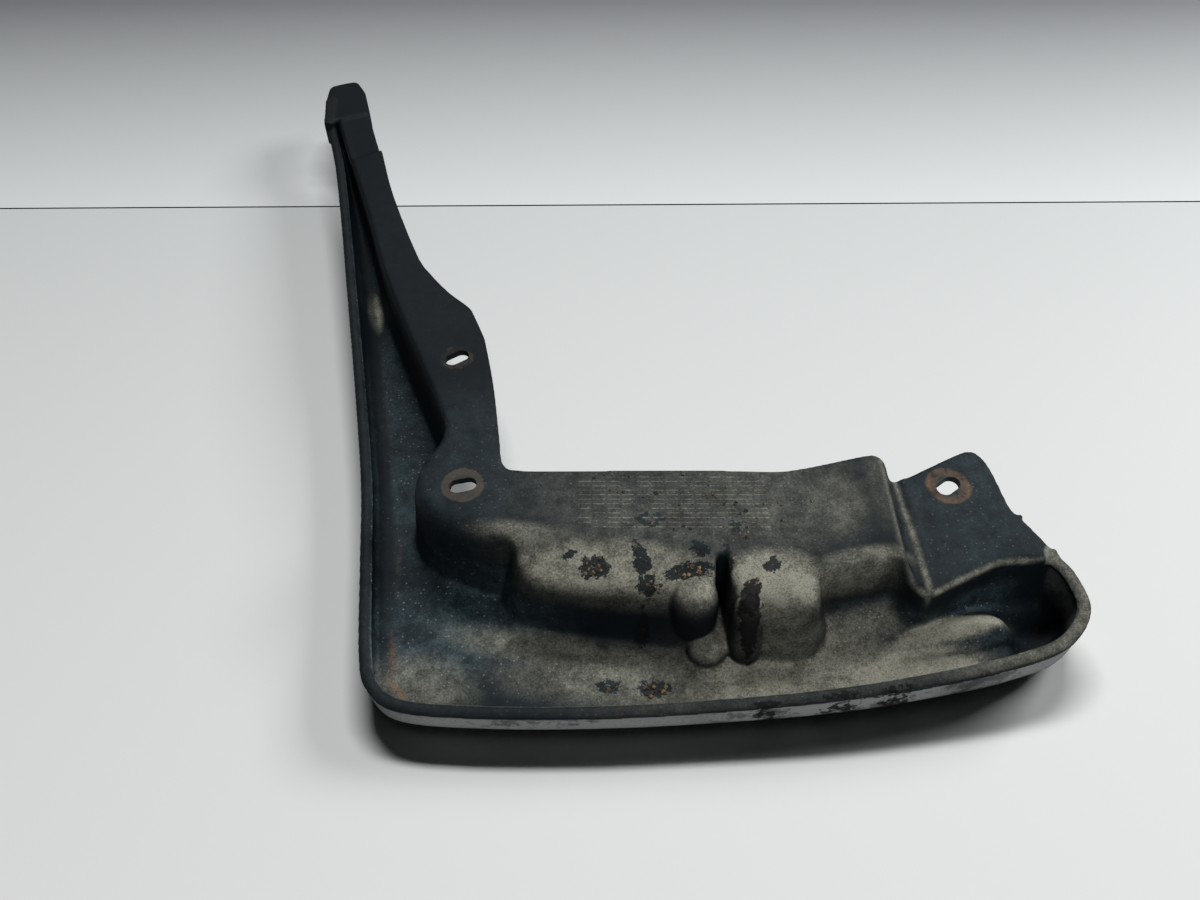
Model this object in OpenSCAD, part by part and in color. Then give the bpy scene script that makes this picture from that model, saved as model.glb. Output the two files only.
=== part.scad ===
// Mud flap for a car: one moulded skin with a raised mounting plate, an arm up its side,
// two hollow blocks, a lower side tab and a rolled rim. It is split into its named regions.
// It lies on its outer face, +Z up, with X across the flap and Y up the arm.

/* [Skin] */
// Thickness of the moulded skin
wall = 3; // [2:0.5:4]
// Height of the mounting plate's upper face above the ground
plate_z = 38; // [32:1:48]
// How far the arm's face falls from its bend to its tip
arm_fall = 8; // [4:1:12]
// How far the flap's floor rises from the arm's bend to its tip
arm_rise = 14; // [8:1:16]
// How far the side tab stands below the plate
tab_drop = 6; // [3:1:10]

/* [Plate and arm] */
// Length of the plate, from the heel corner to the step beside the tab
plate_len = 149; // [140:1:190]
// Depth of the plate, from its back edge to its front edge
plate_depth = 30; // [26:1:38]
// Width of the arm at the heel corner, to the left edge of the plate
heel_w = 36; // [32:1:44]
// Height of the arm's bend above the plate's back edge
arm_bend = 117; // [110:1:140]
// Length of the arm, from the plate's back edge to its tip
arm_len = 304; // [280:1:370]

/* [Screw slots] */
// Width of each slot
slot_w = 6.5; // [5:0.1:8]
// Length of each slot, end to end
slot_len = 11; // [9:0.5:14]
// Distance from the plate's back edge down to the heel slot
heel_slot_down = 8; // [7:1:12]
// Distance between the two arm slots along Y
slot_pitch = 70; // [60:1:75]

/* [Blocks] */
// Length of the large block, from its left face to the channel
large_len = 75; // [60:1:90]
// How far the large block stands out in front of the plate
large_out = 20; // [15:1:24]
// Fall of the large block's top for each unit of depth
large_slope = 0.45; // [0.3:0.05:0.6]
// Width of the upright channel between the blocks
channel_w = 10; // [8:0.5:14]
// Length of the small block
small_len = 26; // [20:1:32]
// How far the small block stands out in front of the plate
small_out = 29; // [25:1:33]
// Fall of the small block's top at its front edge
small_fall = 7; // [4:1:10]

/* [Tab] */
// Width of the side tab
tab_w = 46; // [40:1:56]
// Depth of the side tab in front of the plate's back edge
tab_depth = 53; // [48:1:58]
// Width of the sloping web between the plate and the tab
web_w = 6; // [4:0.5:9]

/* [Walls] */
// How far a wall's foot stands out from its top edge
draft = 3; // [1.5:0.25:3.5]
// The same inside the narrow channel
channel_draft = 2; // [1:0.25:2.5]
// Depth of the step in the arm's face near its tip
step_depth = 1; // [0.5:0.1:1.5]

/* [Rim] */
// Width of the rolled bead
bead_w = 6.5; // [5:0.5:8]
// Height of the rolled bead
bead_h = 5; // [4:0.5:6]
// Thickness of the solid cap at the arm's tip
cap_thick = 7; // [5:0.5:9]
// Height of the bead's crest along the front
front_rim_z = 18; // [16:1:24]
// Distance from the plate's front edge to the outer face of the front rim
front_reach = 67; // [64:1:80]
// How far the flap's left side, at the front, lies outside the plate's left edge
left_reach = 15; // [12:1:24]
// Width of the deep end beyond the side tab
end_reach = 17; // [12:1:22]

/* [Hidden] */

plastic = [0.09, 0.10, 0.11];
dusty = [0.22, 0.21, 0.19];
scuffed = [0.36, 0.37, 0.37];

plate_under = plate_z - wall;
tab_z = plate_z - tab_drop;

// Places across the flap
large_x = 5;
channel_x = large_x + large_len;
small_x = channel_x + channel_w;
ridge_x = small_x + small_len;
tab_x = plate_len + web_w;
tab_end = tab_x + tab_w;
rim_end = tab_end + end_reach;
ridge_left_y = -plate_depth - 18;
ridge_right_y = -plate_depth - 11;
small_front = -plate_depth - small_out;
front_y = -plate_depth - front_reach;

// ---- Helpers: curves, offsets and lofts ----

function blend(p0, p1, p2, p3, t) = 0.5 * (2 * p1 + (p2 - p0) * t
    + (2 * p0 - 5 * p1 + 4 * p2 - p3) * t * t + (3 * p1 - p0 - 3 * p2 + p3) * t * t * t);
// A smooth curve through all its points, with n steps between each two
function curve(p, n) = [for (i = [0 : len(p) - 2]) for (k = [0 : n - 1])
    blend(p[max(i - 1, 0)], p[i], p[i + 1], p[min(i + 2, len(p) - 1)], k / n), p[len(p) - 1]];
function arc(x, y, r, from, to, n) = [for (k = [0 : n])
    let (a = from + (to - from) * k / n) [x + r * cos(a), y + r * sin(a)]];
function left_of(a, b) = let (d = [b[0] - a[0], b[1] - a[1]]) [-d[1], d[0]] / norm(d);
// The mitred direction that leads inwards at point i of a path
function inward(p, i) = let (
    before = left_of(p[max(i - 1, 0)], p[max(i, 1)]),
    after = left_of(p[min(i, len(p) - 2)], p[min(i + 1, len(p) - 1)]),
    middle = (before + after) / norm(before + after))
    middle / max(0.6, middle * before);
function slice(p, from, to) = [for (i = [from : to]) p[i]];
function reversed(p) = [for (i = [len(p) - 1 : -1 : 0]) p[i]];
function flat(p) = [for (q = p) [q[0], q[1]]];

// A closed solid through rings that all have the same number of points
module loft(rings) {
    n = len(rings);
    m = len(rings[0]);
    last = (n - 1) * m;
    sides = [for (i = [0 : n - 2]) for (j = [0 : m - 1])
        each let (a = i * m + j, b = i * m + (j + 1) % m) [[a, b, b + m], [a, b + m, a + m]]];
    near_cap = [for (j = [1 : m - 2]) [0, j + 1, j]];
    far_cap = [for (j = [1 : m - 2]) [last, last + j, last + j + 1]];
    polyhedron([for (r = rings) each r], concat(sides, near_cap, far_cap));
}

// A slab of skin under a sloping plane, given as the plane's height at each corner
module slab(top, thick = wall) {
    n = len(top);
    polyhedron([for (p = top) p, for (p = top) p - [0, 0, thick]],
        concat([[for (i = [n - 1 : -1 : 0]) i]], [[for (i = [0 : n - 1]) n + i]],
            [for (i = [0 : n - 1]) let (k = (i + 1) % n) [i, k, n + k, n + i]]));
}

// A slab of skin over an outline, with an upper face that rises along the arm from a level at its bend
module arm_slab(outline, level, rise, thick = wall) {
    angle = atan(rise / (arm_len - arm_bend));
    depth = thick * cos(angle);
    intersection() {
        linear_extrude(plate_z) polygon(flat(outline));
        translate([-arm_len, arm_bend, level]) rotate([angle, 0, 0])
            translate([0, -wall, -depth]) cube([2 * arm_len, arm_len, depth]);
    }
}

module slot(x, y, angle) {
    translate([x, y, plate_z / 2]) rotate([0, 0, angle]) {
        half = (slot_len - slot_w) / 2;
        for (side = [-1, 1]) translate([side * half, 0, 0]) cylinder(h = plate_z, d = slot_w, $fn = 48);
        translate([-half, -slot_w / 2, 0]) cube([2 * half, slot_w, plate_z]);
    }
}

// ---- Heights of the upper faces ----

function arm_share(y) = max(0, (y - arm_bend) / (arm_len - arm_bend));
function arm_top(y) = plate_z - arm_fall * arm_share(y);
function floor_top(y) = wall + arm_rise * arm_share(y);
function large_back(x) = -plate_depth - 7 * (x - large_x) / large_len;
function large_top(x, y) = plate_z - large_slope * max(0, large_back(x) - y);
function small_top(y) = plate_z - small_fall * max(0, (ridge_left_y - y) / (ridge_left_y - small_front));
function web_top(x) = plate_z - tab_drop * max(0, (x - plate_len) / web_w);
// The upper face over each run of the walls, in the order of the runs
function top_over(run, x, y) = run == 0 ? arm_top(y) : run == 1 ? plate_z : run == 5 ? small_top(y)
    : run == 6 || run == 7 ? web_top(x) : run == 8 ? tab_z : large_top(min(x, channel_x), y);

// ---- The upper contour: the edge where the walls leave the plate, the blocks and the tab ----
// Each point is x, y and how far the wall's foot stands out

step_left = [-heel_w - 62, arm_bend + 104];
step_right = [-heel_w - 42, arm_bend + 114];
cap_left = [-heel_w - 75, arm_len - 42];
cap_right = [-heel_w - 58, arm_len - 34];

waist = [-heel_w + 10, 20];
left_edge = curve([cap_left, step_left, [-heel_w - 44, arm_bend + 50], [-heel_w - 28, arm_bend],
    [-heel_w - 10, 72], [-heel_w + 6, 35], waist, [-heel_w + 5, 6], [-heel_w, -8],
    [-heel_w, 12 - plate_depth]], 3);
step_at = 3;
bend_at = 9;
waist_at = 18;
arm_edge = slice(left_edge, 0, waist_at);
arm_run = [for (p = arm_edge) [p[0], p[1], draft - 1.5 * arm_share(p[1])]];
corner_edge = concat(slice(left_edge, waist_at, len(left_edge) - 2),
    arc(12 - heel_w, 12 - plate_depth, 12, 180, 270, 5), [[large_x, -plate_depth]]);
corner_run = [for (p = corner_edge) [p[0], p[1], draft]];
large_front = -plate_depth - large_out;
nose_r = 9;
large_edge = concat([[large_x, -plate_depth], [large_x + 2, large_front + 7]],
    arc(large_x + 8, large_front + 6, 5.5, 200, 270, 3), [[channel_x - 14, large_front - 2]]);
large_run = [for (p = large_edge) [p[0], p[1], draft]];
nose_edge = concat([[channel_x - 14, large_front - 2]],
    arc(channel_x - nose_r, large_front + 5, nose_r, 260, 360, 5));
nose_run = [for (p = nose_edge) [p[0], p[1], draft]];
channel_back = large_back(channel_x);
channel_edge = [[channel_x, large_front + 5], [channel_x, channel_back], [small_x, channel_back],
    [small_x, ridge_left_y]];
channel_run = [for (p = channel_edge) [p[0], p[1], channel_draft]];
small_edge = concat([[small_x, ridge_left_y]], arc(small_x + 4, small_front + 4, 4, 180, 270, 4),
    arc(ridge_x - 4, small_front + 4, 4, 270, 360, 4), [[ridge_x, ridge_left_y]]);
small_run = [for (p = small_edge) [p[0], p[1], channel_draft + min(4, p[0] - small_x)]];
ridge_end = [plate_len, ridge_right_y];
ridge_run = [for (p = [[ridge_x, ridge_left_y], [(ridge_x + plate_len) / 2, ridge_left_y + 3.5], ridge_end])
    [p[0], p[1], draft]];
tab_corner = [tab_x, ridge_right_y - 11];
step_run = [for (p = [ridge_end, tab_corner]) [p[0], p[1], draft]];
tab_edge = curve([tab_corner, [tab_x + 13, -tab_depth + 5], [tab_x + 26, -tab_depth + 12],
    [tab_end - 10, -tab_depth + 17], [tab_end + 4, -tab_depth + 21]], 2);
tab_run = [for (p = tab_edge) [p[0], p[1], draft]];

// The runs joined end to end; each run starts on the last point of the one before
runs = [arm_run, corner_run, large_run, nose_run, channel_run, small_run, ridge_run, step_run, tab_run];
contour = concat(arm_run, [for (i = [1 : len(runs) - 1]) each slice(runs[i], 1, len(runs[i]) - 1)]);
function run_start(i) = i == 0 ? 0 : run_start(i - 1) + len(runs[i - 1]) - 1;
function run_end(i) = run_start(i) + len(runs[i]) - 1;

// Plan of the walls' feet: the outer foot stands out from the edge, the inner foot lies one wall behind it
foot_out = [for (i = [0 : len(contour) - 1]) let (p = contour[i])
    [p[0], p[1]] - inward(contour, i) * p[2]];
foot_in = [for (i = [0 : len(contour) - 1]) foot_out[i] + inward(foot_out, i) * wall];
edge_in = [for (i = [0 : len(contour) - 1]) [contour[i][0], contour[i][1]] + inward(contour, i) * wall];

// The terrace: a sloping floor between the small block and the tab, up to the ridge wall
terrace_from = run_end(5) - 2;
terrace_to = run_end(7);
terrace_a = foot_in[terrace_from];
terrace_b = foot_in[terrace_to];
terrace_slope = 0.62;
function behind(p) = left_of(terrace_a, terrace_b) * (p - terrace_a);
function ground(i, p) = i > terrace_from && i < terrace_to
    ? wall + terrace_slope * max(0, behind(p)) : floor_top(p[1]);
function wall_ring(run, i) = let (p = contour[i], e = edge_in[i], f = foot_in[i], g = foot_out[i]) [
    [p[0], p[1], top_over(run, p[0], p[1]) - wall], [e[0], e[1], top_over(run, e[0], e[1]) - wall],
    [f[0], f[1], ground(i, f)], [g[0], g[1], ground(i, g)]];
module wall_part(run) {
    loft([for (i = [run_start(run) : run_end(run)]) wall_ring(run, i)]);
}

// ---- The rim, from the arm's tip round the corner and the front to the deep end ----
// Each row is x and y of the outer face, height of the crest, height of the foot, and width of the margin

corner_x = -heel_w - left_reach;
rim_rows = [
    [cap_left[0] - 7.5, cap_left[1], 29, 22, 4.4],
    [step_left[0] - 9, step_left[1], 27, 19, 5.4],
    [corner_x - 44, arm_bend + 50, 24, 16, 8],
    [corner_x - 33.5, arm_bend, 21.5, 12, 11],
    [corner_x - 21.5, 60, 19, 10, 14.5],
    [corner_x - 11.5, 10, 18, 9, 16],
    [corner_x - 6, -28, 18, 9, 11],
    [corner_x, front_y + 27, front_rim_z, 9, 13],
    [corner_x + 5, front_y + 13, front_rim_z, 9, 13],
    [corner_x + 17, front_y + 4, front_rim_z, 9, 15],
    [-3, front_y, front_rim_z, 8, 20],
    [large_x + 30, front_y - 0.5, front_rim_z, 8, 20],
    [channel_x - 8, front_y + 1.5, front_rim_z, 8, 18],
    [ridge_x + 4, front_y + 5.5, front_rim_z + 1, 8, 18],
    [tab_x + 5, front_y + 12, front_rim_z + 2, 8, 18],
    [tab_end - 11, front_y + 19.5, front_rim_z + 4, 8, 16],
    [rim_end - 10, front_y + 28, front_rim_z + 6, 9, 14],
    [rim_end, front_y + 41, front_rim_z + 8, 10, 12],
    [rim_end - 2, front_y + 55, front_rim_z + 10, 11, 10],
    [rim_end - 7, front_y + 62, front_rim_z + 11, 12, 9]];
rim = curve(rim_rows, 3);
arm_bound = 18;
corner_bound = 30;
front_bound = 42;
bounds = [0, arm_bound, corner_bound, front_bound, len(rim) - 1];

// The place of a point that lies a distance inside the outer face, at a height
function inside(i, distance, z) = let (p = [rim[i][0], rim[i][1]] + inward(rim, i) * distance)
    [p[0], p[1], z];
module margin(part) {
    loft([for (i = [bounds[part] : bounds[part + 1]])
        let (belly = floor_top(inside(i, rim[i][4], 0)[1])) [
        inside(i, wall, rim[i][3] - wall), inside(i, wall, rim[i][3]),
        inside(i, rim[i][4], belly), inside(i, rim[i][4], belly - wall)]]);
}
module skirt(part) {
    loft([for (i = [bounds[part] : bounds[part + 1]]) [
        inside(i, 2, rim[i][3] - wall - 1), inside(i, 0, rim[i][3]), inside(i, 0, rim[i][2] - bead_h),
        inside(i, wall, rim[i][2] - bead_h), inside(i, wall, rim[i][3] - wall - 1)]]);
}
module bead(part) {
    chamfer = bead_h * 0.35;
    loft([for (i = [bounds[part] : bounds[part + 1]]) let (top = rim[i][2], low = top - bead_h) [
        inside(i, chamfer - 1, low), inside(i, -1, low + chamfer), inside(i, -1, top - chamfer),
        inside(i, chamfer - 1, top), inside(i, bead_w - chamfer - 1, top),
        inside(i, bead_w - 1, top - chamfer), inside(i, bead_w - 1, low + chamfer),
        inside(i, bead_w - 1 - chamfer, low)]]);
}

// The middle of the whole part in plan, which is moved to the origin
outermost = [for (i = [0 : len(rim) - 1]) inside(i, -1, 0)];
x_low = cap_left[0] - 12;
x_high = max([for (p = outermost) p[0]]);
y_low = min([for (p = outermost) p[1]]);
module placed() { translate([-(x_low + x_high) / 2, -(y_low + arm_len) / 2, 0]) children(); }

// ---- Plate, arm and tab ----

arm_right = curve([[-3.5, 20], [-8, 45], [-13, 70], [-18, 88], [-32, 106], [-heel_w - 5, arm_bend]], 2);
bend_right = [-heel_w - 5, arm_bend];
strip_right = curve([bend_right, [-heel_w - 15, arm_bend + 17], [-heel_w - 34, arm_bend + 70],
    step_right], 2);

module mounting_plate() {
    front = [[channel_x, channel_back], [small_x, channel_back], [small_x, ridge_left_y],
        [ridge_x, ridge_left_y], flat(ridge_run)[1], ridge_end];
    back = concat(arc(plate_len - 4, 4, 4, 0, 100, 4), [[plate_len - 29, 2], [plate_len - 43, 0],
        [0, 0], arm_right[0]]);
    placed() color(dusty) translate([0, 0, plate_under]) difference() {
        linear_extrude(wall) polygon(concat(flat(corner_edge), front, back));
        translate([0, 0, -plate_z]) slot(-heel_w / 2, -heel_slot_down, 18);
    }
}

module arm_plate() {
    placed() color(plastic) translate([0, 0, plate_under]) difference() {
        linear_extrude(wall) polygon(concat(slice(arm_edge, bend_at, waist_at), arm_right));
        translate([0, 0, -plate_z]) slot(-heel_w / 2 - 7, slot_pitch - heel_slot_down, 34);
    }
}

module arm_strip() {
    placed() color(plastic)
        arm_slab(concat(slice(arm_edge, step_at, bend_at), strip_right), plate_z, -arm_fall);
}

module tip_step() {
    outline = concat(slice(arm_edge, 0, step_at), [step_right, cap_right]);
    placed() color(plastic) arm_slab(outline, plate_z - step_depth, -arm_fall, wall - step_depth);
}

module tip_cap() {
    bead_outer = inside(0, -1, 0);
    bead_inner = inside(0, bead_w - 1, 0);
    placed() color(plastic) arm_slab([[cap_left[0] - 9, arm_len - 2], [cap_left[0] - 12, arm_len - 6],
        bead_outer, bead_inner, cap_left, cap_right, [cap_right[0] - 14, arm_len]],
        plate_z, -arm_fall, cap_thick);
}

module step_web() {
    placed() color(plastic) slab([for (p = [ridge_end, tab_corner, [tab_x, 0], [plate_len, 4]])
        [p[0], p[1], web_top(p[0])]]);
}

module side_tab() {
    right = [[tab_end, -tab_depth + 31], [tab_end - 2, -12], [tab_end - 4, 2]];
    back = concat(arc(tab_end - 11, 10, 5, 20, 110, 4), [[tab_x + 18, 8], [tab_x + 5, 0], [tab_x, 0]]);
    placed() color(plastic) translate([0, 0, tab_z - wall]) difference() {
        linear_extrude(wall) polygon(concat(flat(tab_edge), right, back));
        translate([0, 0, -plate_z]) slot(tab_x + 21, -4, 38);
    }
}

// ---- Blocks ----

module large_block_top() {
    outline = concat(large_edge, slice(nose_edge, 1, len(nose_edge) - 1), [[channel_x, channel_back]]);
    placed() color(dusty) slab([for (p = outline) [p[0], p[1], large_top(p[0], p[1])]]);
}
module small_block_top() {
    placed() color(dusty) slab([for (p = small_edge) [p[0], p[1], small_top(p[1])]]);
}

// ---- Walls ----

module arm_wall() { placed() color(plastic) wall_part(0); }
module corner_wall() { placed() color(plastic) wall_part(1); }
module large_block_wall() { placed() color(plastic) wall_part(2); }
module block_nose() { placed() color(dusty) wall_part(3); }
module channel_wall() { placed() color(plastic) wall_part(4); }
module small_block_wall() { placed() color(dusty) wall_part(5); }
module ridge_wall() { placed() color(plastic) wall_part(6); }
module step_wall() { placed() color(plastic) wall_part(7); }
module tab_wall() { placed() color(plastic) wall_part(8); }

// ---- Floor ----

// The stretch of the walls and the stretch of the rim that the arm's floor lies between
arm_walls = bend_at;
arm_rim = 10;
belly_edge = [for (i = [0 : len(rim) - 1]) inside(i, rim[i][4], 0)];
// Where the edge of the floor crosses the line of the arm's bend
belly_bend = let (a = belly_edge[arm_rim - 1], b = belly_edge[arm_rim])
    a + (b - a) * (arm_bend - a[1]) / (b[1] - a[1]);

module flap_panel() {
    outer = flat(concat([belly_bend], slice(belly_edge, arm_rim, len(rim) - 1)));
    inner = concat(slice(foot_in, arm_walls, terrace_from), slice(foot_in, terrace_to, len(contour) - 1));
    placed() color(dusty) linear_extrude(wall) polygon(concat(inner, reversed(outer)));
}
module arm_panel() {
    outer = flat(concat(slice(belly_edge, 0, arm_rim - 1), [belly_bend]));
    inner = slice(foot_in, 0, arm_walls);
    placed() color(plastic) arm_slab(concat(outer, reversed(inner)), wall, arm_rise);
}
module terrace() {
    placed() color(dusty) slab([for (p = slice(foot_in, terrace_from, terrace_to))
        [p[0], p[1], wall + terrace_slope * max(0, behind(p))]]);
}

module arm_margin() { placed() color(plastic) margin(0); }
module corner_margin() { placed() color(dusty) margin(1); }
module front_margin() { placed() color(dusty) margin(2); }
module end_margin() { placed() color(plastic) margin(3); }
module arm_skirt() { placed() color(plastic) skirt(0); }
module corner_skirt() { placed() color(scuffed) skirt(1); }
module front_skirt() { placed() color(scuffed) skirt(2); }
module end_skirt() { placed() color(scuffed) skirt(3); }
module arm_bead() { placed() color(plastic) bead(0); }
module corner_bead() { placed() color(plastic) bead(1); }
module front_bead() { placed() color(plastic) bead(2); }
module end_bead() { placed() color(plastic) bead(3); }

mounting_plate();
arm_plate();
arm_strip();
tip_step();
tip_cap();
arm_wall();
corner_wall();
large_block_top();
large_block_wall();
block_nose();
channel_wall();
small_block_top();
small_block_wall();
ridge_wall();
step_web();
step_wall();
side_tab();
tab_wall();
terrace();
flap_panel();
arm_panel();
arm_margin();
corner_margin();
front_margin();
end_margin();
arm_skirt();
corner_skirt();
front_skirt();
end_skirt();
arm_bead();
corner_bead();
front_bead();
end_bead();
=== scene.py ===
"""Looks of a mud flap: one moulded skin with a slotted plate and arm, two hollow blocks, a side tab and a rolled rim.

The skin is drawn as overlapping closed shells, fused and eased into one surface the way a mould rounds its
corners, and parted into the frame's named regions. Lengths inside the classes are millimetres in the part's own
working corner; Place moves them to the frame.
"""

import logging
import math
from collections.abc import Callable
from dataclasses import dataclass, field
from enum import Enum

import bmesh
import bpy
import numpy as np
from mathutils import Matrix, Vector
from mathutils.geometry import delaunay_2d_cdt
from mathutils.kdtree import KDTree


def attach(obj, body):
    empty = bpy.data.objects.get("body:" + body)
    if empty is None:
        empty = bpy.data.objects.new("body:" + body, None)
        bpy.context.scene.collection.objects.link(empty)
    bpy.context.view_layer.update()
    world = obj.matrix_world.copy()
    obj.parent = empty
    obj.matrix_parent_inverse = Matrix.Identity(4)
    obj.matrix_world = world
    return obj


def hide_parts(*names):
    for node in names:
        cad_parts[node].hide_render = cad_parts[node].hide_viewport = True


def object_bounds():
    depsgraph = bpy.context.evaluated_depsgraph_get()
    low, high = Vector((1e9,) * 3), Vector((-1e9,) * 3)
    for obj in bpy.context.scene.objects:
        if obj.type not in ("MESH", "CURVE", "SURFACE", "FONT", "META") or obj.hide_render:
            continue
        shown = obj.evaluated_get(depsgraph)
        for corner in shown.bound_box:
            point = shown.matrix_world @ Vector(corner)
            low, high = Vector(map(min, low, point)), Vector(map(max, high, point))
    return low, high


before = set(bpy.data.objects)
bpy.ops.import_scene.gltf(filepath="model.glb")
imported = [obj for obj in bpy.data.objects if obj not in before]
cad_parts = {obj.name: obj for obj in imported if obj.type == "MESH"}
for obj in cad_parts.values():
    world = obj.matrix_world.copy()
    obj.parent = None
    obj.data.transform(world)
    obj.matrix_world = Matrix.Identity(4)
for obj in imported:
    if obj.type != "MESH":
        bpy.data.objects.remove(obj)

CAD_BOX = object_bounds()
MM = 0.001
Socket = bpy.types.NodeSocket
log = logging.getLogger("mud_flap")


# ---------------------------------------------------------------- curves in plan


def spline(points: np.ndarray | tuple, steps: int) -> np.ndarray:
    """Runs a smooth curve through all its points.

    Args:
        points: Rows of numbers, the first two the place in plan.
        steps: Steps between each two points.

    Returns:
        The curve's rows, the last point included.
    """
    p = np.asarray(points, float)
    p = np.vstack([2 * p[0] - p[1], p, 2 * p[-1] - p[-2]])
    t = (np.arange(steps) / steps)[:, None]
    parts = []
    for i in range(1, len(p) - 2):
        a, b, c, d = p[i - 1 : i + 3]
        square = 2 * a - 5 * b + 4 * c - d
        cube = 3 * b - a - 3 * c + d
        parts.append(b + 0.5 * ((c - a) * t + square * t**2 + cube * t**3))
    return np.vstack(parts + [p[-2:-1]])


def even(path: np.ndarray, spacing: float) -> np.ndarray:
    """Spaces a path's points evenly along its length in plan.

    Args:
        path: Rows of numbers, the first two the place in plan.
        spacing: Distance between two points, in millimetres.

    Returns:
        The new rows.
    """
    run = np.r_[0, np.cumsum(np.hypot(*np.diff(path[:, :2], axis=0).T))]
    at = np.linspace(0, run[-1], max(2, int(round(run[-1] / spacing)) + 1))
    return np.column_stack([np.interp(at, run, column) for column in path.T])


def eased(path: np.ndarray, passes: int) -> np.ndarray:
    """Rounds a path's corners, leaving its ends.

    Args:
        path: The path's rows.
        passes: How many times each row is drawn toward its neighbours.

    Returns:
        The rounded rows.
    """
    out = path.copy()
    for _ in range(passes):
        out[1:-1] = 0.25 * out[:-2] + 0.5 * out[1:-1] + 0.25 * out[2:]
    return out


def leftward(path: np.ndarray) -> np.ndarray:
    """Finds which way is left along a path.

    Args:
        path: Rows of numbers, the first two the place in plan.

    Returns:
        Unit vectors to the left of the path, at each of its points.
    """
    d = np.gradient(path[:, :2], axis=0)
    n = np.column_stack([-d[:, 1], d[:, 0]])
    return n / np.linalg.norm(n, axis=1)[:, None]


def rise(x: np.ndarray | float, low: float, high: float) -> np.ndarray:
    """Rises smoothly from 0 at low to 1 at high."""
    t = np.clip((np.asarray(x, float) - low) / (high - low), 0, 1)
    return t * t * (3 - 2 * t)


def plateau(x: np.ndarray, ends: tuple) -> np.ndarray:
    """Rises from 0 to 1 between the first two ends, and falls back to 0 between the last two."""
    return rise(x, *ends[:2]) * (1 - rise(x, *ends[2:]))


def hump(gap: np.ndarray, width: float) -> np.ndarray:
    """Falls smoothly from 1 at no gap toward 0 some widths away."""
    return np.exp(-((gap / width) ** 2))


def near_path(xy: np.ndarray, path: np.ndarray | tuple) -> tuple:
    """Measures places against a polyline in plan.

    Args:
        xy: Places in plan.
        path: The polyline's points.

    Returns:
        Each place's distance from it, and how far along it the nearest spot is, from 0 to 1.
    """
    path = np.asarray(path, float)
    a, b = path[:-1, :2], path[1:, :2]
    lengths = np.hypot(*(b - a).T)
    start = np.r_[0, np.cumsum(lengths)[:-1]]
    best, along = np.full(len(xy), np.inf), np.zeros(len(xy))
    for k, (p, q) in enumerate(zip(a, b)):
        d = q - p
        t = np.clip(((xy - p) @ d) / (d @ d), 0, 1)
        gap = np.hypot(*(xy - p - t[:, None] * d).T)
        closer = gap < best
        best[closer] = gap[closer]
        along[closer] = (start[k] + t[closer] * lengths[k]) / lengths.sum()
    return best, along


BLOB_CORE = 0.35


def blob(xy: np.ndarray, centre: tuple, radii: tuple, turn: float = 0.0) -> np.ndarray:
    """Measures a soft oval in plan, 1 in its core and 0 outside it.

    Args:
        xy: Places in plan.
        centre: Its middle.
        radii: Its half length and half width.
        turn: Its turn from X, in degrees.

    Returns:
        Its strength at each place.
    """
    c, s = math.cos(math.radians(turn)), math.sin(math.radians(turn))
    d = xy - np.asarray(centre, float)
    u, v = (d[:, 0] * c + d[:, 1] * s) / radii[0], (-d[:, 0] * s + d[:, 1] * c) / radii[1]
    return 1 - rise(np.hypot(u, v), BLOB_CORE, 1.0)


class Place:
    """The move from the working corner, the plate's back left corner on the ground, to the frame."""

    ARM_TIP = 304.0
    CAP_LEFT = -123.0
    shift = np.array([CAD_BOX[0][0] / MM - CAP_LEFT, CAD_BOX[1][1] / MM - ARM_TIP, 0.0])

    @classmethod
    def to_frame(cls, points: np.ndarray) -> np.ndarray:
        """Moves places in millimetres to the frame, in metres."""
        return (points + cls.shift) * MM

    @classmethod
    def from_frame(cls, points: np.ndarray) -> np.ndarray:
        """Moves places in the frame, in metres, back to millimetres."""
        return points / MM - cls.shift


# ---------------------------------------------------------------- the flap's levels


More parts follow.
